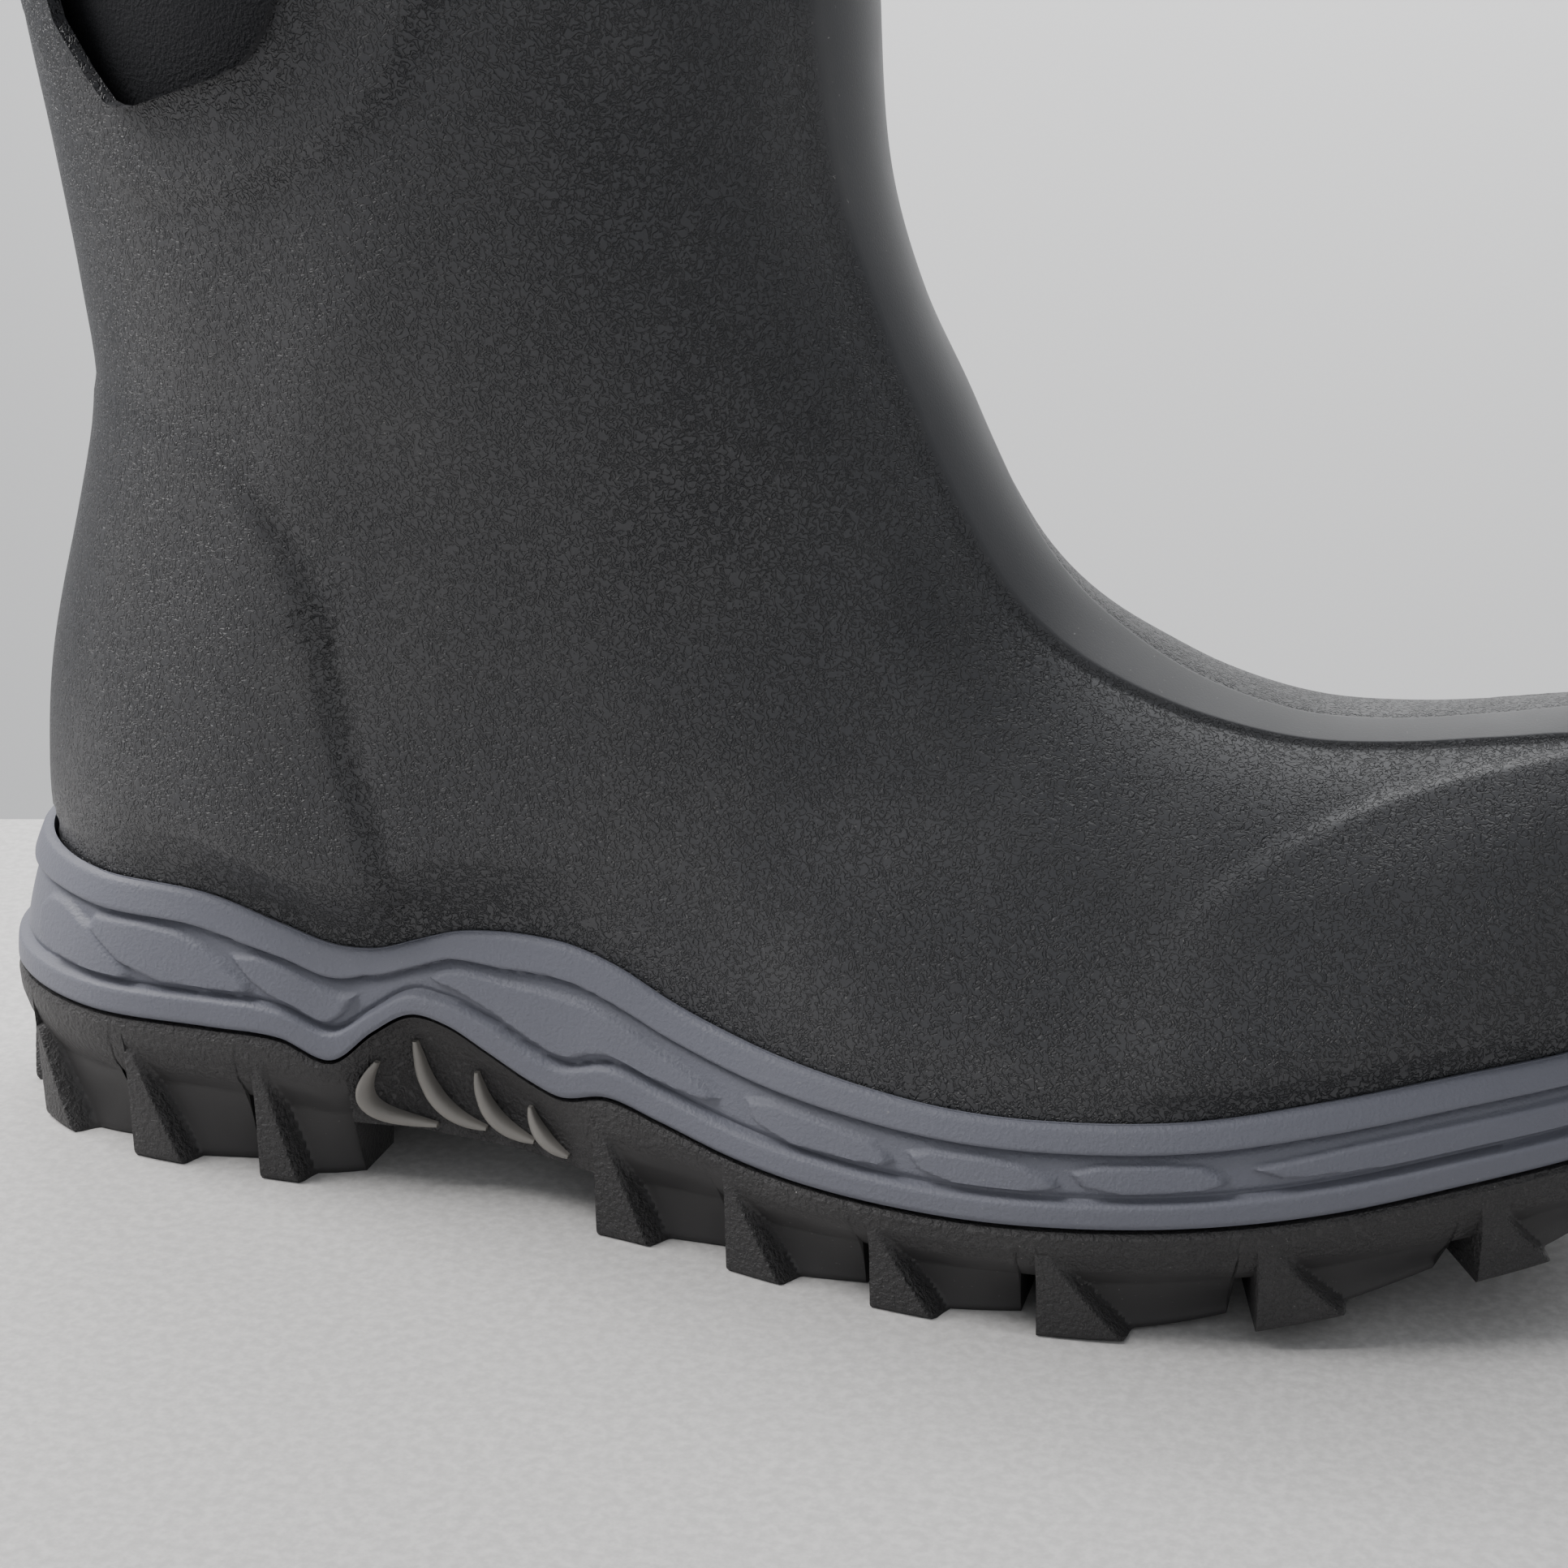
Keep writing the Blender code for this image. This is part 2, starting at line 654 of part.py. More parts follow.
def build_leg_and_upper():
    rows = upper_rows()
    normals = row_normals(rows)
    near = nearest_feather(rows.reshape(-1, 3)[:, :2])
    flat = np.zeros_like(rows)
    flat[:, :, :2] = -FEATHER_IN[near].reshape(rows.shape[0], -1, 2)
    level = 1 - ease((rows[:, :, 2] - sole_height("band_top", rows[:, :, 0])) / 0.006)
    aim = normals * (1 - level[:, :, None]) + flat * level[:, :, None]
    aim = aim / np.linalg.norm(aim, axis=2)[:, :, None]
    top = ARC_ROWS + SHELL_TOP_ROW
    outer = rows + aim * wall_steps(rows)[:, :, None]
    inner = rows - aim * RUBBER_WALL
    shell = skin_solid("upper_shell", outer[:top], inner[:top], ARC_ROWS, "black_rubber", 40)
    cut_windows(shell)
    low = ARC_ROWS + SLEEVE_LOW_ROW
    first = RUBBER_WALL + GAP
    sleeve_out = rows[low:] - aim[low:] * first
    sleeve_in = rows[low:] - aim[low:] * (first + NEOPRENE_WALL)
    skin_solid("neoprene_shaft", sleeve_out, sleeve_in, 0, "dark_neoprene", 50)
    build_binding(rows[-1, :-1], aim[-1, :-1], first)


def build_binding(ring, aim, first):
    out = GAP + BINDING_WALL
    deep = first + NEOPRENE_WALL
    profile = (
        (out - first, -BINDING_DROP),
        (out - first, GAP),
        (out - first - 0.0008, out),
        (-deep - out + 0.0008, out),
        (-deep - out, GAP),
        (-deep - out, -BINDING_DROP),
        (-deep - GAP, -BINDING_DROP),
        (-deep - GAP, GAP),
        (GAP - first, GAP),
        (GAP - first, -BINDING_DROP),
    )
    flat = aim.copy()
    flat[:, 2] = 0.0
    flat = flat / np.linalg.norm(flat, axis=1)[:, None]
    slope = (aim * flat).sum(axis=1)
    lean = -aim[:, 2] / slope
    vertices = []
    for shift, rise in profile:
        ringed = ring + aim * shift
        slide = flat[:, :2] * lean[:, None] * rise
        ringed = ringed + np.column_stack([slide, np.full(len(ring), rise)])
        vertices.append(ringed)
    swept_ring("collar_binding", vertices, "binding_fabric", 50)


# Quads between closed levels that all have the same number of points
def side_faces(levels, wide):
    faces = []
    for level in range(levels - 1):
        low, high = level * wide, (level + 1) * wide
        for spot in range(wide):
            ahead = (spot + 1) % wide
            faces.append((low + spot, low + ahead, high + ahead, high + spot))
    return faces


def swept_ring(name, levels, material, smooth_angle):
    wide = len(levels[0])
    faces = side_faces(len(levels), wide)
    last = (len(levels) - 1) * wide
    for spot in range(wide):
        ahead = (spot + 1) % wide
        faces.append((last + spot, last + ahead, ahead, spot))
    return add_object(name, np.vstack(levels), faces, material, smooth_angle)


def cut_windows(shell):
    corners = np.array(WINDOW) * np.array([LENGTH, BOOT_HEIGHT])
    count = len(corners)
    vertices = [(x, side * FOREFOOT_WIDTH, z) for side in (-1, 1) for x, z in corners]
    faces = [tuple(range(count)), tuple(range(2 * count - 1, count - 1, -1))]
    for spot in range(count):
        ahead = (spot + 1) % count
        faces.append((spot, spot + count, ahead + count, ahead))
    cutter = add_object("window_cutter", vertices, faces, "black_rubber", 0)
    cutter.hide_render = True
    cutter.display_type = "WIRE"
    apply_boolean(shell, cutter, "DIFFERENCE")


def apply_boolean(item, tool, operation):
    change = item.modifiers.new("cut", "BOOLEAN")
    change.operation = operation
    change.solver = "EXACT"
    change.use_self = operation == "UNION"
    change.object = tool
    bpy.context.view_layer.update()
    ready = item.evaluated_get(bpy.context.evaluated_depsgraph_get())
    mesh = bpy.data.meshes.new_from_object(ready)
    item.modifiers.clear()
    item.data = mesh
    work = bmesh.new()
    work.from_mesh(mesh)
    bmesh.ops.remove_doubles(work, verts=work.verts, dist=0.00002)
    bmesh.ops.dissolve_degenerate(work, edges=work.edges, dist=0.00002)
    bmesh.ops.triangulate(work, faces=work.faces)
    work.to_mesh(mesh)
    work.free()
    bpy.data.objects.remove(tool)


# Rings of the sole: each level is an offset of the outline with its own heights
RING = DENSE[::4]
RING_IN = DENSE_IN[::4]


def sole_level(distance, height):
    return np.column_stack([offset_outline(RING, RING_IN, distance), height])


def lofted(name, levels, material, smooth_angle):
    wide = len(levels[0])
    faces = side_faces(len(levels), wide)
    faces += ladder(0, wide, False) + ladder((len(levels) - 1) * wide, wide, True)
    return add_object(name, np.vstack(levels), faces, material, smooth_angle)


# Cap across a ring: rungs between the two sides, so it follows the length
def ladder(start, wide, turned):
    tip = wide // 2
    faces = []
    for step in range(1, tip):
        a, b = start + step - 1, start + step
        c, d = start + (wide - step), start + (wide - step + 1) % wide
        face = (a, b, c, d) if d != a else (a, b, c)
        faces.append(face[::-1] if turned else face)
    face = (start + tip - 1, start + tip, start + tip + 1)
    faces.append(face[::-1] if turned else face)
    return faces


def build_midsole():
    inset = upper_inset(RING[:, 0])
    low = sole_height("band_low", RING[:, 0])
    tall = sole_height("band_top", RING[:, 0]) - low
    levels = []
    under = offset_outline(RING, RING_IN, 0.006)
    levels.append(np.column_stack([under, sole_height("band_low", under[:, 0])]))
    for height, share in BAND:
        levels.append(sole_level(inset * share, low + tall * height))
    wall = inset - SEAT_GAP
    levels.append(sole_level(wall, low + tall))
    footbed = sole_height("footbed", RING[:, 0])
    levels.append(sole_level(wall, footbed))
    floor = offset_outline(RING, RING_IN, wall + 0.006)
    levels.append(np.column_stack([floor, sole_height("footbed", floor[:, 0])]))
    lofted("midsole_band", levels, "grey_midsole", 35)


def arch_share(x):
    share = x / LENGTH
    return ease((share - 0.240) / 0.060) * (1 - ease((share - 0.345) / 0.080))


def wall_inset(x, drop):
    plain = np.interp(drop, column(WALL, WALL_COLUMNS, "drop"), column(WALL, WALL_COLUMNS, "inset"))
    arched = np.interp(drop, column(WALL, WALL_COLUMNS, "drop"), column(WALL, WALL_COLUMNS, "arch_inset"))
    share = arch_share(x)
    return plain * (1 - share) + arched * share


def wall_levels():
    top = sole_height("band_low", RING[:, 0]) - SEAT_GAP
    plate = sole_height("plate", RING[:, 0])
    drops = column(WALL, WALL_COLUMNS, "drop")
    return [sole_level(wall_inset(RING[:, 0], drop), top + (plate - top) * drop) for drop in drops]


def build_outsole():
    over = offset_outline(RING, RING_IN, 0.006)
    levels = [np.column_stack([over, sole_height("band_low", over[:, 0]) - SEAT_GAP])]
    levels += wall_levels()
    under = offset_outline(RING, RING_IN, 0.012)
    levels.append(np.column_stack([under, sole_height("plate", under[:, 0])]))
    sole = lofted("outsole", levels, "tread_rubber", 0)
    apply_boolean(sole, build_lugs(), "UNION")
    sole.data.shade_smooth()
    sole.data.set_sharp_from_angle(angle=math.radians(28))


def outline_at(share, side):
    tip = int(np.argmax(DENSE[:, 0]))
    curve = DENSE[: tip + 1] if side < 0 else np.vstack([DENSE[tip:], DENSE[:1]])[::-1]
    normals = DENSE_IN[: tip + 1] if side < 0 else np.vstack([DENSE_IN[tip:], DENSE_IN[:1]])[::-1]
    run = np.concatenate([[0.0], np.cumsum(np.linalg.norm(np.diff(curve, axis=0), axis=1))])
    wanted = share * run[-1]
    point = np.array([np.interp(wanted, run, curve[:, k]) for k in range(2)])
    normal = np.array([np.interp(wanted, run, normals[:, k]) for k in range(2)])
    return point, normal / np.linalg.norm(normal)


def block(low, high):
    faces = [(3, 2, 1, 0), (4, 5, 6, 7)]
    faces += [(k, (k + 1) % 4, (k + 1) % 4 + 4, k + 4) for k in range(4)]
    return list(low) + list(high), faces


def edge_lug(start, end, fin, side):
    (a, into_a), (b, into_b) = outline_at(start, side), outline_at(end, side)
    ahead = (b - a) / np.linalg.norm(b - a)
    reach = min(LUG_REACH, 0.8 * max(abs(a[1]), 0.012))
    reach_b = min(LUG_REACH, 0.8 * max(abs(b[1]), 0.012))
    corners = (a + into_a * 0.0012, b + into_b * 0.0058, b + into_b * reach_b, a + into_a * reach)
    upper = (
        a + into_a * 0.0022,
        b + into_b * 0.0036 + ahead * 0.001,
        b + into_b * (reach_b + 0.002),
        a + into_a * (reach + 0.002),
    )
    low = [(*p, float(sole_height("tread", p[0]))) for p in corners]
    high = [(*p, float(sole_height("plate", p[0])) + 0.004) for p in upper]
    pieces = [block(low, high)]
    wide = 0.42 * np.linalg.norm(b - a)
    tread = float(sole_height("tread", a[0]))
    peak = HEEL_STACK * fin
    start_low = a + into_a * -0.0002
    end_low = start_low + ahead * wide + into_a * 0.0012
    deep = 0.006
    foot = [start_low, end_low, end_low + into_a * deep, start_low + into_a * deep]
    tip_a = a + into_a * 0.0004 + ahead * 0.0006
    tip_b = tip_a + ahead * 0.0014
    tips = [tip_a, tip_b, tip_b + into_a * 0.004, tip_a + into_a * 0.004]
    low = [(*p, tread + 0.0003) for p in foot]
    high = [(*p, peak) for p in tips]
    pieces.append(block(low, high))
    return pieces


def middle_lug(along, across, half_length, half_width):
    x, y = along * LENGTH, across * FOREFOOT_WIDTH
    dx, dy = half_length * LENGTH, half_width * FOREFOOT_WIDTH
    ring = ((x - dx, y - dy), (x + dx, y - 0.7 * dy), (x + dx, y + 0.7 * dy), (x - dx, y + dy))
    low = [(*p, float(sole_height("tread", p[0]))) for p in ring]
    roots = [(x + 1.2 * (p[0] - x), y + 1.1 * (p[1] - y)) for p in ring]
    high = [(*root, float(sole_height("plate", p[0])) + 0.003) for root, p in zip(roots, ring)]
    return block(low, high)


def build_lugs():
    pieces = []
    for start, end, fin in LUGS:
        for side in (-1, 1):
            pieces += edge_lug(start, end, fin, side)
    pieces += [middle_lug(*row) for row in MIDDLE_LUGS]
    vertices, faces = [], []
    for corners, sides in pieces:
        base = len(vertices)
        vertices += corners
        faces += [tuple(base + k for k in face) for face in sides]
    mesh = bpy.data.meshes.new("lug_tool")
    mesh.from_pydata([tuple(map(float, v)) for v in vertices], [], faces)
    work = bmesh.new()
    work.from_mesh(mesh)
    bmesh.ops.recalc_face_normals(work, faces=work.faces)
    work.to_mesh(mesh)
    work.free()
    tool = bpy.data.objects.new("lug_tool", mesh)
    bpy.context.scene.collection.objects.link(tool)
    tool.hide_render = True
    tool.display_type = "WIRE"
    return tool


# A pale rib lies on the arch wall: a tapered crescent with a rounded face
def build_ribs():
    wall = wall_levels()
    for side, word in ((-1, "lateral"), (1, "medial")):
        for number, row in enumerate(RIBS, 1):
            build_rib(f"arch_rib_{word}_{number}", wall, side, row)


def wall_point(levels, x, z, side, proud):
    across, heights = [], []
    for level in levels[::-1]:
        tip = int(np.argmax(level[:, 0]))
        part = level[: tip + 1] if side < 0 else level[tip:][::-1]
        across.append(np.interp(x, part[:, 0], part[:, 1]))
        heights.append(np.interp(x, part[:, 0], part[:, 2]))
    return (x, np.interp(z, heights, across) + side * proud, z)


def build_rib(name, wall, side, row):
    top_x, top_z, bend_x, bend_z, tail_x, tail_z = row
    steps = 7
    t = np.linspace(0.0, 1.0, steps + 1)
    ctrl_x = 2 * bend_x - (top_x + tail_x) / 2
    ctrl_z = 2 * bend_z - (top_z + tail_z) / 2
    x = LENGTH * ((1 - t) ** 2 * top_x + 2 * t * (1 - t) * ctrl_x + t * t * tail_x)
    z = HEEL_STACK * ((1 - t) ** 2 * top_z + 2 * t * (1 - t) * ctrl_z + t * t * tail_z)
    dx, dz = np.gradient(x), np.gradient(z)
    size = np.hypot(dx, dz)
    dx, dz = dx / size, dz / size
    swell = np.sin(math.pi * (0.08 + 0.84 * t)) ** 0.7
    across = ((-0.5, 0.1), (-0.2, 0.9), (0.2, 0.9), (0.5, 0.1))
    levels = []
    for i in range(steps + 1):
        half = RIB_WIDTH * swell[i]
        ring = []
        for share, lift in across:
            px, pz = x[i] - dz[i] * half * share, z[i] + dx[i] * half * share
            ring.append(wall_point(wall, px, pz, side, 2 * GAP + RIB_PROUD * swell[i] * lift))
        for share, _ in across[::-3]:
            px, pz = x[i] - dz[i] * half * share, z[i] + dx[i] * half * share
            ring.append(wall_point(wall, px, pz, side, 1.4 * GAP))
        levels.append(ring)
    wide = len(levels[0])
    faces = side_faces(steps + 1, wide)
    faces.append(tuple(range(wide))[::-1])
    faces.append(tuple(range(steps * wide, (steps + 1) * wide)))
    add_object(name, [p for ring in levels for p in ring], faces, "pale_rib", 40)


def build_insole():
    distance = upper_inset(RING[:, 0]) + RUBBER_WALL + 5 * SEAT_GAP
    flat = offset_outline(RING, RING_IN, distance)
    soft = offset_outline(RING, RING_IN, distance + 0.0012)
    low = sole_height("footbed", flat[:, 0]) + SEAT_GAP
    levels = [
        np.column_stack([flat, low]),
        np.column_stack([flat, low + INSOLE_THICKNESS - 0.0012]),
        np.column_stack([soft, sole_height("footbed", soft[:, 0]) + SEAT_GAP + INSOLE_THICKNESS]),
    ]
    lofted("insole", levels, "insole_foam", 40)


# Put the middle of the finished boot's bounds on the origin, with the floor at zero
def centre_all():
    items = [item for item in bpy.context.scene.objects if item.type == "MESH"]
    corners = np.array([v.co[:] for item in items for v in item.data.vertices])
    low, high = corners.min(axis=0), corners.max(axis=0)
    move = (-(low[0] + high[0]) / 2, -(low[1] + high[1]) / 2, -low[2])
    for item in items:
        for vertex in item.data.vertices:
            vertex.co.x += move[0]
            vertex.co.y += move[1]
            vertex.co.z += move[2]
        item.data.update()


def main():
    for item in list(bpy.data.objects):
        bpy.data.objects.remove(item)
    add_materials()
    build_leg_and_upper()
    build_midsole()
    build_outsole()
    build_ribs()
    build_insole()
    centre_all()


main()
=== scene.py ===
import math

import json

import bmesh
import bpy
import mathutils
import numpy as np
from bpy.props import FloatProperty, FloatVectorProperty, PointerProperty
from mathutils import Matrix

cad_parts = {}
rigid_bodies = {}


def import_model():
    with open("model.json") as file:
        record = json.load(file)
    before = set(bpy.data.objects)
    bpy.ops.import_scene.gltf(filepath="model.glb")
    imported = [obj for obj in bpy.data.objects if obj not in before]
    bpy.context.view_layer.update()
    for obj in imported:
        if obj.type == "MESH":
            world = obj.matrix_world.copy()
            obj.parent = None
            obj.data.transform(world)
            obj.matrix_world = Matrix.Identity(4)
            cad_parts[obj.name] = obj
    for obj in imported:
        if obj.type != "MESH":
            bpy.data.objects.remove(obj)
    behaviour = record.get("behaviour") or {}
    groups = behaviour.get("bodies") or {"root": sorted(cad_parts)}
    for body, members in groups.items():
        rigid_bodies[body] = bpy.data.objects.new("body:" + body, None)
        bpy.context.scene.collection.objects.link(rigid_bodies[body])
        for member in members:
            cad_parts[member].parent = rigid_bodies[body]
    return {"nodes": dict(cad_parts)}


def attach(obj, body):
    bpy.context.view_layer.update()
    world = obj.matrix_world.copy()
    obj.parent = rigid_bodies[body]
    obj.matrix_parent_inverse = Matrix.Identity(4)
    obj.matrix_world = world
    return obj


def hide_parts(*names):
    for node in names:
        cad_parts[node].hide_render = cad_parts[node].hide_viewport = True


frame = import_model()

bl_info = {
    "name": "Rubber boot looks",
    "version": (1, 0, 0),
    "blender": (4, 5, 0),
    "location": "3D View > Sidebar > Boot",
    "description": "Builds the visible surfaces of a mid-height rubber boot round its packed parts",
    "category": "Object",
}

# The boot's own sizes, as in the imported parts
LENGTH = 0.306
FOREFOOT_WIDTH = 0.110
HEEL_STACK = 0.050
BOOT_HEIGHT = 0.286
RUBBER_WALL = 0.0022
NEOPRENE_WALL = 0.0030
GAP = 0.0003
SEAT_GAP = 0.0007
UPPER_INSET = 0.0052
BLEND = 0.030
RISE = 0.013
BINDING_DROP = 0.011
BINDING_WALL = 0.0014
LUG_REACH = 0.021
RIB_WIDTH = 0.0027
RIB_PROUD = 0.0022
HALF_LENGTH = LENGTH / 2

# Mesh counts of the visible skins
AROUND = 212
STRIP_STEPS = 12
TUCK_STEPS = 4
FAN_ROWS = 146
RING_ROWS = 88
RAYS = 241
BISECTIONS = 22
OUTLINE_STEPS = 108
SHELL_TOP = 10 / 14
SLEEVE_LOW = 4 / 14
INSIDE_TOP = 5 / 14
BAND_STEPS = 960
BAND_LEVELS = 56
TREAD_STEPS = 1300
TREAD_LEVELS = 44

# Outline of the sole seen from above
OUTLINE_COLUMNS = ("along", "across")
OUTLINE = (
    (0.000, 0.000),
    (0.028, -0.200),
    (0.098, -0.325),
    (0.196, -0.359),
    (0.310, -0.360),
    (0.425, -0.396),
    (0.539, -0.473),
    (0.647, -0.502),
    (0.752, -0.462),
    (0.846, -0.372),
    (0.926, -0.244),
    (0.982, -0.080),
    (1.000, 0.080),
    (0.984, 0.240),
    (0.935, 0.375),
    (0.856, 0.460),
    (0.752, 0.492),
    (0.637, 0.464),
    (0.523, 0.385),
    (0.408, 0.310),
    (0.294, 0.298),
    (0.196, 0.325),
    (0.098, 0.318),
    (0.028, 0.200),
)

# Heights of the sole along the foot as shares of the heel stack
SOLE_COLUMNS = ("along", "band_top", "band_low", "footbed", "plate", "tread")
SOLE = (
    (0.000, 1.040, 0.540, 0.790, 0.300, 0.000),
    (0.098, 1.010, 0.530, 0.790, 0.280, 0.000),
    (0.180, 0.990, 0.544, 0.790, 0.280, 0.000),
    (0.222, 0.920, 0.540, 0.785, 0.262, 0.000),
    (0.255, 0.866, 0.484, 0.780, 0.235, 0.000),
    (0.278, 0.872, 0.600, 0.775, 0.222, 0.000),
    (0.301, 0.920, 0.682, 0.768, 0.215, 0.000),
    (0.322, 0.964, 0.664, 0.755, 0.210, 0.000),
    (0.346, 0.986, 0.592, 0.735, 0.206, 0.000),
    (0.373, 0.990, 0.510, 0.705, 0.202, 0.000),
    (0.388, 0.984, 0.478, 0.690, 0.200, 0.000),
    (0.418, 0.936, 0.508, 0.650, 0.196, 0.000),
    (0.448, 0.856, 0.468, 0.612, 0.192, 0.000),
    (0.490, 0.784, 0.412, 0.560, 0.188, 0.000),
    (0.539, 0.732, 0.378, 0.515, 0.175, 0.000),
    (0.605, 0.690, 0.366, 0.482, 0.165, 0.000),
    (0.670, 0.692, 0.378, 0.484, 0.168, 0.000),
    (0.735, 0.720, 0.406, 0.512, 0.190, 0.024),
    (0.800, 0.792, 0.460, 0.572, 0.250, 0.098),
    (0.866, 0.866, 0.540, 0.650, 0.330, 0.190),
    (0.915, 0.904, 0.590, 0.700, 0.392, 0.252),
    (1.000, 0.980, 0.660, 0.776, 0.480, 0.370),
)

# Side wall of the outsole from the band down to the tread plate
WALL_COLUMNS = ("drop", "inset", "arch_inset")
WALL = (
    (0.00, 0.0006, 0.0010),
    (0.08, 0.0000, 0.0030),
    (0.35, 0.0002, 0.0056),
    (0.65, 0.0012, 0.0066),
    (1.00, 0.0030, 0.0062),
)

# Heel, ankle and shaft: level sections up the leg
SHAFT_COLUMNS = ("height", "back", "front", "half_width", "fullness")
SHAFT = (
    (0.110, 0.030, 0.385, 0.275, 2.10),
    (0.196, 0.035, 0.418, 0.282, 2.15),
    (0.262, 0.042, 0.455, 0.296, 2.15),
    (0.332, 0.055, 0.500, 0.328, 2.10),
    (0.392, 0.069, 0.530, 0.368, 2.10),
    (0.458, 0.082, 0.540, 0.420, 2.05),
    (0.524, 0.080, 0.533, 0.456, 2.05),
    (0.594, 0.072, 0.523, 0.484, 2.00),
    (0.682, 0.060, 0.518, 0.506, 2.00),
    (0.839, 0.045, 0.518, 0.530, 2.00),
    (1.000, 0.034, 0.522, 0.545, 2.00),
)

# Foot: crest height, crest side shift and fullness of the two flanks
FOOT_COLUMNS = ("along", "crest", "shift", "lateral_full", "medial_full")
FOOT = (
    (0.000, 0.300, 0.000, 2.00, 2.00),
    (0.200, 0.400, 0.000, 2.00, 2.00),
    (0.400, 0.395, 0.010, 2.00, 2.10),
    (0.500, 0.382, 0.025, 1.90, 2.10),
    (0.560, 0.396, 0.035, 1.85, 2.15),
    (0.610, 0.368, 0.045, 1.80, 2.20),
    (0.660, 0.342, 0.052, 1.80, 2.25),
    (0.705, 0.318, 0.058, 1.85, 2.25),
    (0.755, 0.303, 0.065, 1.95, 2.30),
    (0.805, 0.302, 0.070, 2.10, 2.35),
    (0.855, 0.308, 0.075, 2.30, 2.40),
    (0.905, 0.314, 0.080, 2.50, 2.50),
    (0.940, 0.306, 0.080, 2.60, 2.60),
    (0.970, 0.280, 0.080, 2.60, 2.60),
    (0.988, 0.245, 0.080, 2.60, 2.60),
    (0.997, 0.205, 0.080, 2.60, 2.60),
    (1.000, 0.180, 0.080, 2.60, 2.60),
)

# Fans of sections that stand on the footbed: foot of the section, then its crest point
FAN_COLUMNS = ("foot_along", "crest_along", "crest_height")
FAN = (
    (0.820, 0.982, 0.136),
    (0.805, 0.983, 0.200),
    (0.785, 0.966, 0.270),
    (0.755, 0.930, 0.308),
    (0.712, 0.868, 0.310),
    (0.655, 0.790, 0.303),
    (0.580, 0.712, 0.311),
    (0.495, 0.652, 0.338),
    (0.400, 0.602, 0.385),
    (0.300, 0.572, 0.435),
    (0.215, 0.557, 0.472),
    (0.150, 0.548, 0.500),
    (0.103, 0.542, 0.522),
    (0.070, 0.538, 0.538),
    (0.047, 0.535, 0.550),
    (0.034, 0.533, 0.559),
    (0.0296, 0.532, 0.566),
)

# Closed rings above the heel: height at the back and at the front
RING_COLUMNS = ("back_height", "front_height")
RINGS = (
    (0.138, 0.566),
    (0.260, 0.606),
    (0.400, 0.656),
    (0.530, 0.722),
    (0.660, 0.792),
    (0.780, 0.856),
    (0.890, 0.914),
    (0.992, 0.992),
)

# Half width of the smooth strip down the front, by height
STRIP_COLUMNS = ("height", "half_width")
STRIP = (
    (0.000, 0.0045),
    (0.300, 0.0050),
    (0.340, 0.0075),
    (0.450, 0.0120),
    (0.560, 0.0155),
    (0.690, 0.0200),
    (1.000, 0.0240),
)

# Edge of the toe overlay and of the heel counter: height against length
TOE_EDGE_COLUMNS = ("height", "along")
TOE_EDGE = (
    (0.000, 0.707),
    (0.175, 0.711),
    (0.210, 0.715),
    (0.235, 0.730),
    (0.260, 0.765),
    (0.280, 0.808),
    (0.294, 0.850),
    (0.304, 0.895),
    (0.315, 0.940),
)

COUNTER_COLUMNS = ("height", "along")
COUNTER = (
    (0.000, 0.310),
    (0.165, 0.297),
    (0.235, 0.281),
    (0.290, 0.268),
    (0.360, 0.258),
    (0.392, 0.248),
    (0.413, 0.235),
    (0.430, 0.222),
    (0.444, 0.199),
    (0.456, 0.150),
    (0.465, 0.080),
)

# Side windows in the rubber shaft and the raised surround around them
WINDOW_COLUMNS = ("along", "height")
WINDOW = (
    (0.060, 1.100),
    (0.138, 0.690),
    (0.176, 0.637),
    (0.188, 0.633),
    (0.200, 0.636),
    (0.258, 0.655),
    (0.272, 0.668),
    (0.284, 0.692),
    (0.330, 0.860),
    (0.345, 1.100),
)

SURROUND = (
    (-0.040, 1.100),
    (0.060, 0.760),
    (0.120, 0.640),
    (0.155, 0.598),
    (0.180, 0.583),
    (0.222, 0.587),
    (0.265, 0.599),
    (0.300, 0.617),
    (0.330, 0.642),
    (0.345, 0.672),
    (0.360, 0.715),
    (0.400, 0.880),
    (0.420, 1.100),
)

# Lugs round the edge as shares of each half outline, with the height of the fin
LUG_COLUMNS = ("start", "end", "fin")
LUGS = (
    (0.006, 0.076, 0.36),
    (0.086, 0.152, 0.36),
    (0.161, 0.224, 0.41),
    (0.232, 0.279, 0.47),
    (0.409, 0.471, 0.41),
    (0.479, 0.544, 0.32),
    (0.552, 0.620, 0.28),
    (0.629, 0.714, 0.28),
    (0.724, 0.809, 0.35),
    (0.819, 0.898, 0.475),
    (0.908, 0.990, 0.56),
)

# Lugs down the middle: place, half length and half width
MIDDLE_COLUMNS = ("along", "across", "half_length", "half_width")
MIDDLE_LUGS = (
    (0.120, 0.000, 0.018, 0.080),
    (0.205, 0.000, 0.018, 0.090),
    (0.455, 0.010, 0.018, 0.110),
    (0.530, 0.010, 0.018, 0.150),
    (0.605, 0.010, 0.020, 0.190),
    (0.685, 0.020, 0.022, 0.190),
    (0.770, 0.035, 0.022, 0.160),
    (0.850, 0.055, 0.022, 0.110),
)

# Pale ribs in the arch: top, bend and tail of each
RIB_COLUMNS = ("top_along", "top_height", "bend_along", "bend_height", "tail_along", "tail_height")
RIBS = (
    (0.277, 0.475, 0.272, 0.305, 0.308, 0.245),
    (0.299, 0.560, 0.308, 0.350, 0.338, 0.262),
    (0.334, 0.470, 0.343, 0.315, 0.368, 0.252),
    (0.367, 0.385, 0.374, 0.290, 0.391, 0.240),
)

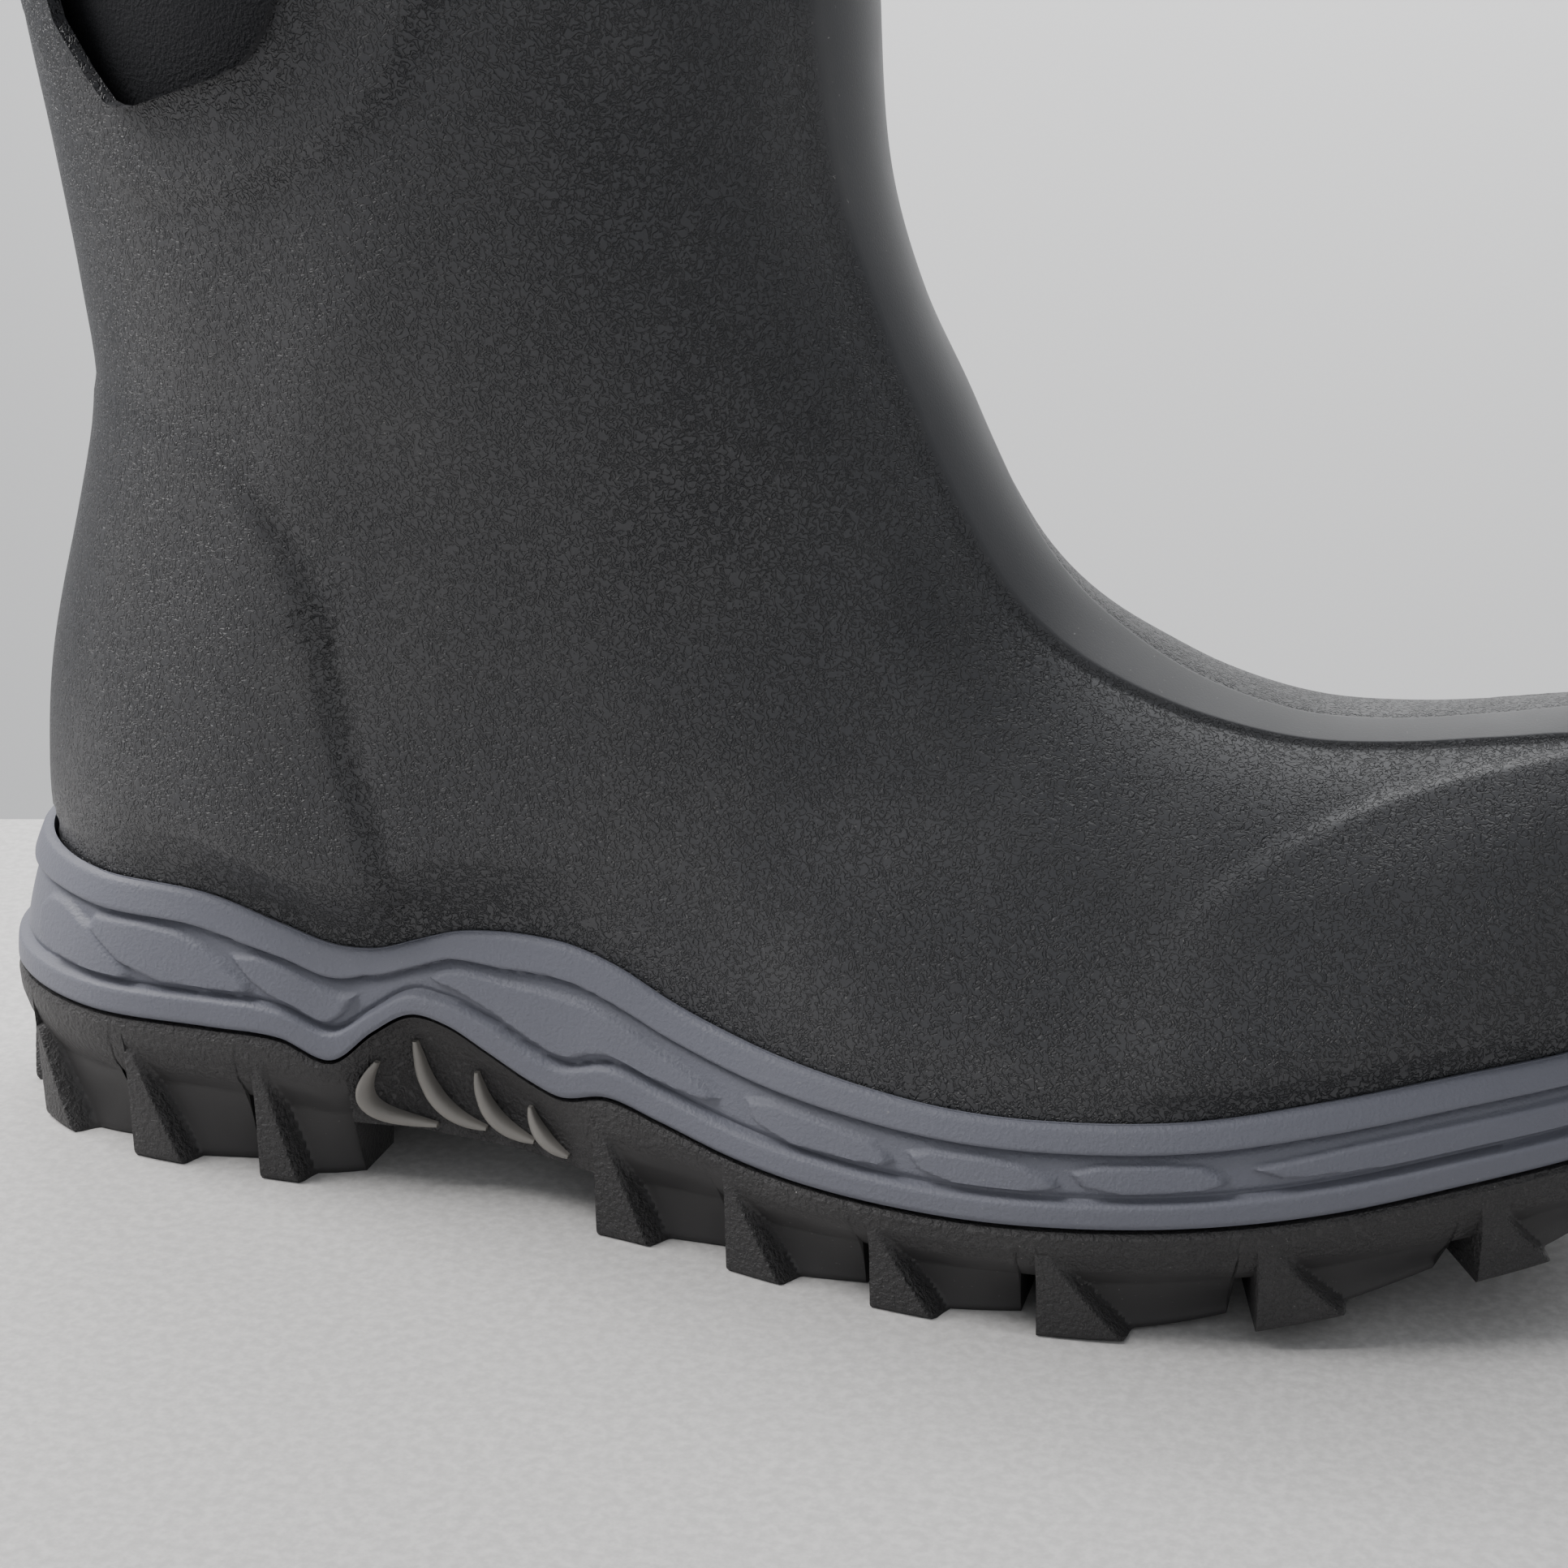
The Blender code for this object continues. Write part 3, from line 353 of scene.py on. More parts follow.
# Raised panels in the band's channel: corners as share of length and height in the channel
PANELS = (
    ((0.046, 0.15), (0.046, 0.85), (0.078, 0.92), (0.130, 0.14), (0.115, 0.06)),
    ((0.080, 0.90), (0.150, 0.95), (0.180, 0.72), (0.208, 0.16), (0.190, 0.10), (0.133, 0.10)),
    ((0.186, 0.94), (0.270, 0.78), (0.257, 0.14), (0.232, 0.15), (0.210, 0.22)),
    (
        (0.311, 0.48), (0.318, 0.80), (0.360, 0.84), (0.420, 0.84), (0.465, 0.62), (0.486, 0.30),
        (0.445, 0.12), (0.412, 0.16), (0.392, 0.08), (0.360, 0.15), (0.330, 0.30),
    ),
    ((0.496, 0.82), (0.565, 0.78), (0.583, 0.40), (0.577, 0.17), (0.508, 0.12)),
    ((0.588, 0.78), (0.645, 0.85), (0.672, 0.34), (0.660, 0.14), (0.600, 0.17)),
    ((0.673, 0.80), (0.735, 0.84), (0.755, 0.35), (0.740, 0.18), (0.685, 0.17)),
    ((0.757, 0.74), (0.785, 0.14), (0.985, 0.16), (0.985, 0.76)),
)

# Soft troughs and swells of the worn rubber: place, size, lean in radians and depth
DENT_COLUMNS = ("along", "height", "long", "wide", "lean", "depth")
DENTS = (
    (0.300, 0.560, 0.110, 0.022, 1.10, 0.0009),
    (0.235, 0.520, 0.100, 0.020, 1.25, -0.0006),
    (0.430, 0.470, 0.090, 0.026, 0.95, 0.0008),
    (0.360, 0.350, 0.080, 0.024, 1.30, -0.0007),
    (0.470, 0.330, 0.070, 0.022, 0.60, 0.0007),
    (0.560, 0.290, 0.075, 0.022, 0.35, -0.0006),
    (0.640, 0.235, 0.060, 0.020, 0.20, 0.0006),
    (0.150, 0.330, 0.060, 0.022, 1.50, -0.0005),
    (0.400, 0.700, 0.100, 0.028, 1.45, 0.0008),
    (0.470, 0.780, 0.100, 0.022, 1.55, -0.0006),
)


def column(rows, names, name):
    place = names.index(name)
    return np.array([row[place] for row in rows])


def smooth(wanted, known, values):
    wanted = np.clip(wanted, known[0], known[-1])
    slopes = np.gradient(values, known)
    low = np.clip(np.searchsorted(known, wanted) - 1, 0, len(known) - 2)
    width = known[low + 1] - known[low]
    t = (wanted - known[low]) / width
    first = (1 + 2 * t) * (1 - t) ** 2 * values[low] + t * (1 - t) ** 2 * width * slopes[low]
    second = t * t * (3 - 2 * t) * values[low + 1] + t * t * (t - 1) * width * slopes[low + 1]
    return first + second


def table(rows, names, key, name, wanted):
    return smooth(wanted, column(rows, names, key), column(rows, names, name))


def ease(value):
    value = np.clip(value, 0.0, 1.0)
    return value * value * (3 - 2 * value)


def closed_curve(points, per_piece):
    count = len(points)
    out = []
    for i in range(count):
        a, b, c, d = (points[(i + k) % count] for k in (-1, 0, 1, 2))
        for step in range(per_piece):
            t = step / per_piece
            value = 2 * b + (c - a) * t
            value = value + (2 * a - 5 * b + 4 * c - d) * t * t
            value = value + (3 * b - a - 3 * c + d) * t ** 3
            out.append(value / 2)
    return np.array(out)


def even_curve(points, count):
    ring = np.vstack([points, points[:1]])
    run = np.concatenate([[0.0], np.cumsum(np.linalg.norm(np.diff(ring, axis=0), axis=1))])
    wanted = np.linspace(0.0, run[-1], count, endpoint=False)
    return np.column_stack([np.interp(wanted, run, ring[:, k]) for k in range(2)])


def inward(points):
    along = np.roll(points, -1, axis=0) - np.roll(points, 1, axis=0)
    along = along / np.linalg.norm(along, axis=1)[:, None]
    return np.column_stack([-along[:, 1], along[:, 0]])


OUTLINE_POINTS = np.array(OUTLINE) * np.array([LENGTH, FOREFOOT_WIDTH])
DENSE = even_curve(closed_curve(OUTLINE_POINTS, 24), 4 * OUTLINE_STEPS)
DENSE_IN = inward(DENSE)


def sole_height(name, x):
    return HEEL_STACK * np.maximum(table(SOLE, SOLE_COLUMNS, "along", name, x / LENGTH), 0.0)


def upper_inset(x):
    return UPPER_INSET * (1.0 + 0.75 * np.exp(-((x / LENGTH) / 0.075) ** 2))


def offset_outline(points, normals, distance):
    return points + normals * np.reshape(distance, (-1, 1))


FEATHER = offset_outline(DENSE, DENSE_IN, upper_inset(DENSE[:, 0]))
FEATHER_IN = inward(FEATHER)


def nearest_feather(where):
    apart = where[:, None, :] - FEATHER[None, :, :]
    return np.argmin(np.einsum("ijk,ijk->ij", apart, apart), axis=1)


def feather_distance(x, y):
    where = np.column_stack([x, y])
    near = nearest_feather(where)
    away = -np.einsum("ij,ij->i", where - FEATHER[near], FEATHER_IN[near])
    return away


def side_of(curve, x):
    tip = int(np.argmax(curve[:, 0]))
    low = curve[: tip + 1]
    high = np.vstack([curve[tip:], curve[:1]])[::-1]
    return np.interp(x, low[:, 0], low[:, 1]), np.interp(x, high[:, 0], high[:, 1])


def foot_field(x, y, z):
    share = x / LENGTH
    low, high = side_of(FEATHER, x)
    base = sole_height("band_top", x)
    crest = BOOT_HEIGHT * table(FOOT, FOOT_COLUMNS, "along", "crest", share)
    shift = FOREFOOT_WIDTH * table(FOOT, FOOT_COLUMNS, "along", "shift", share)
    shift = np.clip(shift, low + 0.002, high - 0.002)
    rise = np.clip(z - base, 0.0, None) / np.maximum(crest - base, 0.002)
    half = np.where(y < shift, shift - low, high - shift)
    full_low = table(FOOT, FOOT_COLUMNS, "along", "lateral_full", share)
    full_high = table(FOOT, FOOT_COLUMNS, "along", "medial_full", share)
    power = np.where(y < shift, full_low, full_high)
    half = np.maximum(half, 0.0005)
    total = (np.abs(y - shift) / half) ** power + rise ** power
    total = total + (np.clip(0.24 - share, 0.0, None) / 0.16) ** 2
    tip = FEATHER[:, 0].max()
    total = total + np.clip(x - tip, 0.0, None) / 0.002
    return (total ** (1.0 / power) - 1.0) * 0.28 * FOREFOOT_WIDTH


def leg_field(x, y, z):
    share = z / BOOT_HEIGHT
    back = LENGTH * table(SHAFT, SHAFT_COLUMNS, "height", "back", share)
    front = LENGTH * table(SHAFT, SHAFT_COLUMNS, "height", "front", share)
    half = FOREFOOT_WIDTH * table(SHAFT, SHAFT_COLUMNS, "height", "half_width", share)
    power = table(SHAFT, SHAFT_COLUMNS, "height", "fullness", share)
    total = (np.abs(2 * x - back - front) / (front - back)) ** power + (np.abs(y) / half) ** power
    return (total ** (1.0 / power) - 1.0) * half


def boot_field(x, y, z):
    foot = foot_field(x, y, z)
    leg = leg_field(x, y, z)
    mix = np.clip(0.5 + 0.5 * (foot - leg) / BLEND, 0.0, 1.0)
    joined = foot * (1 - mix) + leg * mix - BLEND * mix * (1 - mix)
    climb = ease((z - sole_height("band_top", x) - 0.0015) / RISE)
    return feather_distance(x, y) * (1 - climb) + joined * climb


def crossing(origin, rays):
    near = np.zeros(len(rays))
    far = np.full(len(rays), 0.20)
    for _ in range(BISECTIONS):
        middle = (near + far) / 2
        where = origin + rays * middle[:, None]
        inside = boot_field(where[:, 0], where[:, 1], where[:, 2]) < 0
        near = np.where(inside, middle, near)
        far = np.where(inside, far, middle)
    return origin + rays * near[:, None]


def strip_half(z):
    heights = column(STRIP, STRIP_COLUMNS, "height")
    return np.interp(z / BOOT_HEIGHT, heights, column(STRIP, STRIP_COLUMNS, "half_width"))


# Rings and sections of the upper at full fineness
def spread(section):
    middle = len(section) // 2
    halves = []
    for part in (section[: middle + 1][::-1], section[middle:]):
        steps = np.maximum(np.linalg.norm(np.diff(part, axis=0), axis=1), 1e-7)
        run = np.concatenate([[0.0], np.cumsum(steps)])
        strip = min(strip_half(part[0, 2]), 0.2 * run[-1])
        clear = np.nonzero(part[:, 2] > sole_height("band_top", part[:, 0]) + 0.0005)[0]
        closed = len(clear) == len(part)
        tuck = run[clear[-1]] if len(clear) else 0.9 * run[-1]
        tuck = 0.98 * run[-1] if closed else min(max(tuck, strip * 1.2), 0.97 * run[-1])
        count = AROUND // 2 - STRIP_STEPS - TUCK_STEPS
        wanted = np.concatenate([
            np.linspace(0.0, strip, STRIP_STEPS, endpoint=False),
            np.linspace(strip, tuck, count, endpoint=False),
            np.linspace(tuck, run[-1], TUCK_STEPS + 1),
        ])
        halves.append(np.column_stack([smooth(wanted, run, part[:, k]) for k in range(3)]))
    return np.vstack([halves[0][::-1], halves[1][1:]])


def fan_section(foot_x, crest_x, crest_z):
    foot_z = sole_height("footbed", foot_x) + SEAT_GAP
    low, high = (float(side[0]) for side in side_of(FEATHER, np.array([foot_x]))[:2])
    along = np.array([crest_x - foot_x, 0.0, crest_z - foot_z])
    reach = np.linalg.norm(along)
    along = along / reach
    closeness = ease((0.33 - foot_x / LENGTH) / 0.30)
    lift = reach * (0.02 + 0.43 * closeness)
    origin = np.array([foot_x, (low + high) / 2, foot_z]) + along * lift
    limit = math.pi - math.atan2(max((high - low) / 2, 1e-6), lift)
    angles = np.linspace(-limit, limit, RAYS)
    rays = np.cos(angles)[:, None] * along + np.sin(angles)[:, None] * np.array([0.0, 1.0, 0.0])
    section = crossing(origin, rays)
    section[0] = (foot_x, low, foot_z)
    section[-1] = (foot_x, high, foot_z)
    return spread(section)


def toe_feather(foot_x):
    keep = FEATHER[FEATHER[:, 0] > foot_x]
    low, high = (side[0] for side in side_of(FEATHER, np.array([foot_x]))[:2])
    flat = np.vstack([[[foot_x, low]], keep, [[foot_x, high]]])
    tip = int(np.argmax(flat[:, 0]))
    out = []
    for part in (flat[: tip + 1], flat[tip:]):
        wanted = np.linspace(0.0, len(part) - 1.0, RAYS // 2 + 1)
        out.append(np.column_stack([np.interp(wanted, np.arange(len(part)), part[:, k]) for k in range(2)]))
    flat = np.vstack([out[0], out[1][1:]])
    return spread(np.column_stack([flat, sole_height("footbed", flat[:, 0]) + SEAT_GAP]))


def ring_section(back_z, front_z):
    back = LENGTH * table(SHAFT, SHAFT_COLUMNS, "height", "back", back_z / BOOT_HEIGHT)
    front = LENGTH * table(SHAFT, SHAFT_COLUMNS, "height", "front", front_z / BOOT_HEIGHT)
    along = np.array([front - back, 0.0, front_z - back_z])
    origin = np.array([back, 0.0, back_z]) + along * 0.5
    along = along / np.linalg.norm(along)
    angles = np.linspace(-math.pi, math.pi, RAYS)
    rays = np.cos(angles)[:, None] * along + np.sin(angles)[:, None] * np.array([0.0, 1.0, 0.0])
    return spread(crossing(origin, rays))


def upper_rows():
    spots = np.linspace(0.0, len(FAN) - 1.0, FAN_ROWS)
    index = np.arange(float(len(FAN)))
    fan = [smooth(spots, index, column(FAN, FAN_COLUMNS, name)) for name in FAN_COLUMNS]
    rows = [toe_feather(LENGTH * fan[0][0])]
    for foot, crest, height in list(zip(*fan))[1:]:
        rows.append(fan_section(LENGTH * foot, LENGTH * crest, BOOT_HEIGHT * height))
    spots = np.linspace(0.0, len(RINGS) - 1.0, RING_ROWS + 1)[1:]
    index = np.arange(float(len(RINGS)))
    back = BOOT_HEIGHT * smooth(spots, index, column(RINGS, RING_COLUMNS, "back_height"))
    front = BOOT_HEIGHT * smooth(spots, index, column(RINGS, RING_COLUMNS, "front_height"))
    rows += [ring_section(*pair) for pair in zip(back, front)]
    rows[FAN_ROWS - 1][-1] = rows[FAN_ROWS - 1][0]
    return np.array(rows)


def row_normals(rows):
    across = np.empty_like(rows)
    across[:, 1:-1] = rows[:, 2:] - rows[:, :-2]
    across[:, 0] = rows[:, 1] - rows[:, 0]
    across[:, -1] = rows[:, -1] - rows[:, -2]
    across[FAN_ROWS:, 0] = rows[FAN_ROWS:, 1] - rows[FAN_ROWS:, -2]
    across[FAN_ROWS:, -1] = across[FAN_ROWS:, 0]
    normals = np.cross(across, np.gradient(rows, axis=0))
    normals = normals / np.maximum(np.linalg.norm(normals, axis=2), 1e-9)[:, :, None]
    near = nearest_feather(rows[:FAN_ROWS].reshape(-1, 3)[:, :2])
    flat = np.zeros((FAN_ROWS, rows.shape[1], 3))
    flat[:, :, :2] = -FEATHER_IN[near].reshape(FAN_ROWS, -1, 2)
    fans = rows[:FAN_ROWS]
    level = 1 - ease((fans[:, :, 2] - sole_height("band_top", fans[:, :, 0])) / 0.004)
    mixed = normals[:FAN_ROWS] * (1 - level[:, :, None]) + flat * level[:, :, None]
    normals[:FAN_ROWS] = mixed / np.maximum(np.linalg.norm(mixed, axis=2), 1e-9)[:, :, None]
    return normals


# Signed distance to a closed run of corners in the side view, positive inside
def polygon_distance(x, z, corners, scale):
    points = np.array(corners) * np.array(scale)
    inside = np.zeros(x.shape, dtype=bool)
    nearest = np.full(x.shape, 1.0)
    for a, b in zip(points, np.roll(points, -1, axis=0)):
        crosses = (a[1] > z) != (b[1] > z)
        slope = (b[0] - a[0]) * (z - a[1]) / (b[1] - a[1] + 1e-12) + a[0]
        inside ^= crosses & (x < slope)
        span = b - a
        t = np.clip(((x - a[0]) * span[0] + (z - a[1]) * span[1]) / (span @ span), 0.0, 1.0)
        nearest = np.minimum(nearest, np.hypot(x - a[0] - t * span[0], z - a[1] - t * span[1]))
    return np.where(inside, nearest, -nearest)


def smooth_corners(corners, rounds):
    points = np.array(corners, dtype=float)
    for _ in range(rounds):
        ahead = np.roll(points, -1, axis=0)
        points = np.stack([0.75 * points + 0.25 * ahead, 0.25 * points + 0.75 * ahead], axis=1).reshape(-1, 2)
    return points


# Signed distance in front of an edge that is given as length against height
def edge_distance(x, z, rows, names):
    heights = column(rows, names, "height") * BOOT_HEIGHT
    edge = column(rows, names, "along") * LENGTH
    fine = np.linspace(heights[0], heights[-1], 60)
    line = smooth(fine, heights, edge)
    nearest = np.full(x.shape, 1.0)
    for a, b in zip(range(59), range(1, 60)):
        span = np.array([line[b] - line[a], fine[b] - fine[a]])
        t = np.clip(((x - line[a]) * span[0] + (z - fine[a]) * span[1]) / (span @ span), 0.0, 1.0)
        nearest = np.minimum(nearest, np.hypot(x - line[a] - t * span[0], z - fine[a] - t * span[1]))
    front = x > np.interp(z, fine, line)
    return np.where(front, nearest, -nearest)


def bell(distance, width):
    return np.exp(-((distance / width) ** 2))


def upper_relief(rows, settings):
    x, z = rows[:, :, 0], rows[:, :, 2]
    step = settings.step
    surround = polygon_distance(x, z, smooth_corners(SURROUND, 2), (LENGTH, BOOT_HEIGHT))
    lift = step * ease(0.5 + surround / 0.0016)
    lift = lift - 0.35 * step * bell(surround + 0.0013, 0.0009)
    toe = edge_distance(x, z, TOE_EDGE, TOE_EDGE_COLUMNS)
    top = TOE_EDGE[-1][0] * BOOT_HEIGHT
    crisp = ease((z / BOOT_HEIGHT - 0.20) / 0.06)
    width = 0.0090 - 0.0070 * crisp
    lift = np.maximum(lift, 0.85 * step * ease(0.5 + toe / width) * (z < top + 0.02))
    lift = lift + 0.30 * step * bell(toe - 0.0010, 0.0014) * crisp
    counter = edge_distance(x, z, COUNTER, COUNTER_COLUMNS)
    behind = (z < COUNTER[-1][0] * BOOT_HEIGHT) * ease(0.5 - counter / 0.0040)
    lift = np.maximum(lift, 0.55 * step * behind)
    fade = ease((0.445 - z / BOOT_HEIGHT) / 0.05) * ease((z / BOOT_HEIGHT - 0.13) / 0.04)
    lift = lift - settings.crease * bell(counter - 0.0008, 0.0022) * fade
    return lift


def strip_relief(rows, settings):
    middle = AROUND // 2
    share = np.abs(np.arange(rows.shape[1]) - middle) / STRIP_STEPS
    flat = 1 - ease((share - 0.93) / 0.14)
    height = rows[:, middle, 2] / BOOT_HEIGHT
    forward = rows[:, middle, 0] / LENGTH
    present = ease((0.93 - forward) / 0.03) * ease((height - 0.20) / 0.05)
    valley = bell(share - 1.06, 0.10)
    lift = settings.step * (0.60 * flat[None, :] - 0.12 * valley[None, :]) * present[:, None]
    return lift, flat[None, :] * present[:, None]


def dent_relief(rows):
    x, y, z = rows[:, :, 0], rows[:, :, 1], rows[:, :, 2]
    out = np.zeros(x.shape)
    for along, height, long, wide, lean, depth in DENTS:
        dx = x - along * LENGTH + 0.06 * y
        dz = z - height * BOOT_HEIGHT
        ahead = dx * math.cos(lean) + dz * math.sin(lean)
        beside = -dx * math.sin(lean) + dz * math.cos(lean)
        out = out + depth * np.exp(-((ahead / (long / 2)) ** 2) - (beside / (wide / 2)) ** 2)
    return out


# Mesh helpers
def deselect_all():
    for item in bpy.context.view_layer.objects:
        item.select_set(False)


def make_object(name, vertices, faces, material):
    mesh = bpy.data.meshes.new(name)
    moved = np.asarray(vertices, dtype=float) - np.array([HALF_LENGTH, 0.0, 0.0])
    mesh.from_pydata(moved.tolist(), [], faces)
    item = bpy.data.objects.new(name, mesh)
    bpy.context.scene.collection.objects.link(item)
    mesh.materials.append(bpy.data.materials[material])
    mesh.shade_smooth()
    return item


def set_attribute(item, name, values):
    data = item.data.attributes.new(name, "FLOAT", "POINT")
    data.data.foreach_set("value", np.asarray(values, dtype=np.float32).ravel())


def ladder(start, wide, turned):
    tip = wide // 2
    faces = []
    for step in range(1, tip):
        face = (start + step - 1, start + step, start + wide - step, start + (wide - step + 1) % wide)
        face = tuple(dict.fromkeys(face))
        faces.append(face[::-1] if turned else face)
    face = (start + tip - 1, start + tip, start + tip + 1)
    faces.append(face[::-1] if turned else face)
    return faces


def band_faces(levels, wide, closed):
    faces = []
    for level in range(levels - 1):
        for spot in range(wide):
            ahead = (spot + 1) % wide
            low, high = level * wide, (level + 1) * wide
            faces.append((low + spot, low + ahead, high + ahead, high + spot))
    if closed:
        for spot in range(wide):
            ahead = (spot + 1) % wide
            faces.append(((levels - 1) * wide + spot, (levels - 1) * wide + ahead, ahead, spot))
    return faces


def skin_faces(count, wide, fans):
    def place(row, spot):
        if row >= fans - 1 and spot == wide - 1:
            spot = 0
        return row * wide + spot

    faces = []
    for row in range(count - 1):
        for spot in range(wide - 1):
            corners = (place(row, spot), place(row, spot + 1), place(row + 1, spot + 1), place(row + 1, spot))
            corners = tuple(dict.fromkeys(corners))
            faces.append(corners[::-1])
    return faces


def drop_loose(item):
    work = bmesh.new()
    work.from_mesh(item.data)
    loose = [vertex for vertex in work.verts if not vertex.link_faces]
    bmesh.ops.delete(work, geom=loose, context="VERTS")
    work.to_mesh(item.data)
    work.free()


# Window openings: cut along their edges by place, open them and turn the rim inward
def cut_windows(item):
    corners = smooth_corners(WINDOW, 1) * np.array([LENGTH, BOOT_HEIGHT])
    corners = corners - np.array([HALF_LENGTH, 0.0])
    low_z = corners[:, 1].min() - 0.006
    work = bmesh.new()
    work.from_mesh(item.data)
    for a, b in zip(corners, np.roll(corners, -1, axis=0)):
        if min(a[1], b[1]) > BOOT_HEIGHT:
            continue
        centre, reach = (a + b) / 2, np.linalg.norm(b - a) / 2 + 0.0015
        along = (b - a) / np.linalg.norm(b - a)
        near = []
        for face in work.faces:
            middle = face.calc_center_median()
            if middle.z < low_z:
                continue
            gap = np.array([middle.x, middle.z]) - centre
            if abs(gap @ along) < reach and abs(gap[0] * along[1] - gap[1] * along[0]) < 0.003:
                near.append(face)
        parts = near + list({edge for face in near for edge in face.edges})
        parts = parts + list({vertex for face in near for vertex in face.verts})
        plane, aim = (centre[0], 0.0, centre[1]), (along[1], 0.0, -along[0])
        bmesh.ops.bisect_plane(work, geom=parts, dist=0.00001, plane_co=plane, plane_no=aim)
    gone = []
    for face in work.faces:
        middle = face.calc_center_median()
        if middle.z < low_z:
            continue
        where = np.array([middle.x]), np.array([middle.z])
        if polygon_distance(*where, corners, (1.0, 1.0))[0] > 0:
            gone.append(face)
    bmesh.ops.delete(work, geom=gone, context="FACES")
    work.to_mesh(item.data)
    work.free()


def turn_rim(item, depth, skip_low):
    work = bmesh.new()
    work.from_mesh(item.data)
    work.normal_update()
    rim = [edge for edge in work.edges if len(edge.link_faces) == 1]
    rim = [edge for edge in rim if min(v.co.z - skip_low(v.co.x + HALF_LENGTH) for v in edge.verts) > 0.002]
    starts = {vertex for edge in rim for vertex in edge.verts}
    inward_by = {vertex: -vertex.normal * depth for vertex in starts}
    made = bmesh.ops.extrude_edge_only(work, edges=rim)
    fresh = [part for part in made["geom"] if isinstance(part, bmesh.types.BMVert)]
    for vertex in fresh:
        mates = [edge.other_vert(vertex) for edge in vertex.link_edges]
        mates = [mate for mate in mates if mate in inward_by]
        if mates:
            vertex.co += inward_by[mates[0]]
    work.to_mesh(item.data)
    work.free()


def outline_samples(run, wanted):
    ring = np.vstack([DENSE, DENSE[:1]])
    normals = np.vstack([DENSE_IN, DENSE_IN[:1]])
    points = np.column_stack([np.interp(wanted, run, ring[:, k]) for k in range(2)])
    aims = np.column_stack([np.interp(wanted, run, normals[:, k]) for k in range(2)])
    return points, aims / np.linalg.norm(aims, axis=1)[:, None]


# Sizes and colours that a user may change
def length(name, text, value):
    return FloatProperty(name=name, description=text, default=value, unit="LENGTH")


def angle(name, text, degrees):
    return FloatProperty(name=name, description=text, default=math.radians(degrees), subtype="ANGLE")


def colour_of(name, text, value):
    return FloatVectorProperty(name=name, description=text, default=value, subtype="COLOR")


class BOOT_PG_upper(bpy.types.PropertyGroup):
    step: length("Overlay step", "Height of the moulded overlays", 0.0011)
    crease: length("Counter crease", "Depth of the heel crease", 0.0011)
    grain: FloatProperty(name="Grain", description="Strength of the moulded grain", default=1.0, subtype="FACTOR")
    colour: colour_of("Rubber", "Colour of the upper's rubber", (0.030, 0.031, 0.035))
    knit: colour_of("Lining", "Colour of the soft lining", (0.0018, 0.0024, 0.0050))


class BOOT_PG_sole(bpy.types.PropertyGroup):
    relief: length("Band relief", "Height of the rails and panels", 0.0015)
    rail: length("Rail height", "Height of the two rails", 0.0040)
    scoop: length("Scoop depth", "Depth of the scoops between the lugs", 0.0050)
    band: colour_of("Band", "Colour of the midsole band", (0.135, 0.140, 0.170))
    tread: colour_of("Tread", "Colour of the outsole", (0.026, 0.025, 0.026))
    rib: colour_of("Ribs", "Colour of the arch ribs", (0.200, 0.190, 0.175))


class BOOT_PG_stage(bpy.types.PropertyGroup):
    lens: FloatProperty(name="Lens", description="Focal length in millimetres", default=67.08)
    azimuth: angle("Azimuth", "Camera angle round the boot", 17)
    elevation: angle("Elevation", "Camera angle above the floor", 18)


# Share of the pale film of dust on rubber and on the lining
DUST_FILM = 0.035
LINING_FILM = 0.004

# The camera's place, and the table's far edge as seen from it
CAMERA_PLACE = (0.1295, -0.4494, 0.2199)
TABLE_EDGE = 0.65
TABLE_DEPTH = 2.4


def active_settings(name):
    return getattr(bpy.context.scene, name)


def add_upper():
    settings = active_settings("boot_upper")
    rows = upper_rows()
    normals = row_normals(rows)
    rise = ease((rows[:, :, 2] - sole_height("band_top", rows[:, :, 0]) - 0.0015) / 0.004)
    relief = upper_relief(rows, settings)
    strip, flat = strip_relief(rows, settings)
    lift = (np.maximum(relief, 0) * (1 - flat) + np.minimum(relief, 0) + strip + dent_relief(rows)) * rise
    top = FAN_ROWS + round(RING_ROWS * SHELL_TOP)
    grain = 1.0 - flat
    width = rows.shape[1]
    outer = (rows + normals * lift[:, :, None])[:top]
    faces = skin_faces(top, width, FAN_ROWS)
    item = make_object("rubber_upper", outer.reshape(-1, 3), faces, "black_rubber_look")
    set_attribute(item, "grain", grain[:top])
    drop_loose(item)
    cut_windows(item)
    turn_rim(item, RUBBER_WALL, lambda x: float(sole_height("band_top", x)))
    finish_piece(item, 50)
    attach(item, "root")
    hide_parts("upper_shell")
    return rows, normals


def add_lining(rows, normals):
    first = RUBBER_WALL + GAP
    low = FAN_ROWS + round(RING_ROWS * SLEEVE_LOW)
    body = rows[low::2, :-1]
    aim = normals[low::2, :-1]
    wide = body.shape[1]
    out = body - aim * first
    inside = body - aim * (first + NEOPRENE_WALL)
    levels = np.concatenate([out, inside[::-1]])
    faces = band_faces(len(levels), wide, True)
    item = make_object("soft_lining", levels.reshape(-1, 3), faces, "neoprene_look")
    finish_piece(item, 50)
    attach(item, "root")
    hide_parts("neoprene_shaft")


def add_inside(rows, normals):
    aim = normals[1:]
    body = rows[1:] - aim * (RUBBER_WALL + 0.0002)
    keep = FAN_ROWS + round(RING_ROWS * INSIDE_TOP)
    body = body[:keep:2]
    faces = skin_faces(len(body), body.shape[1], (FAN_ROWS + 1) // 2)
    item = make_object("inside_lining", body.reshape(-1, 3), [face[::-1] for face in faces], "neoprene_look")
    drop_loose(item)
    finish_piece(item, 60, False)
    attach(item, "root")


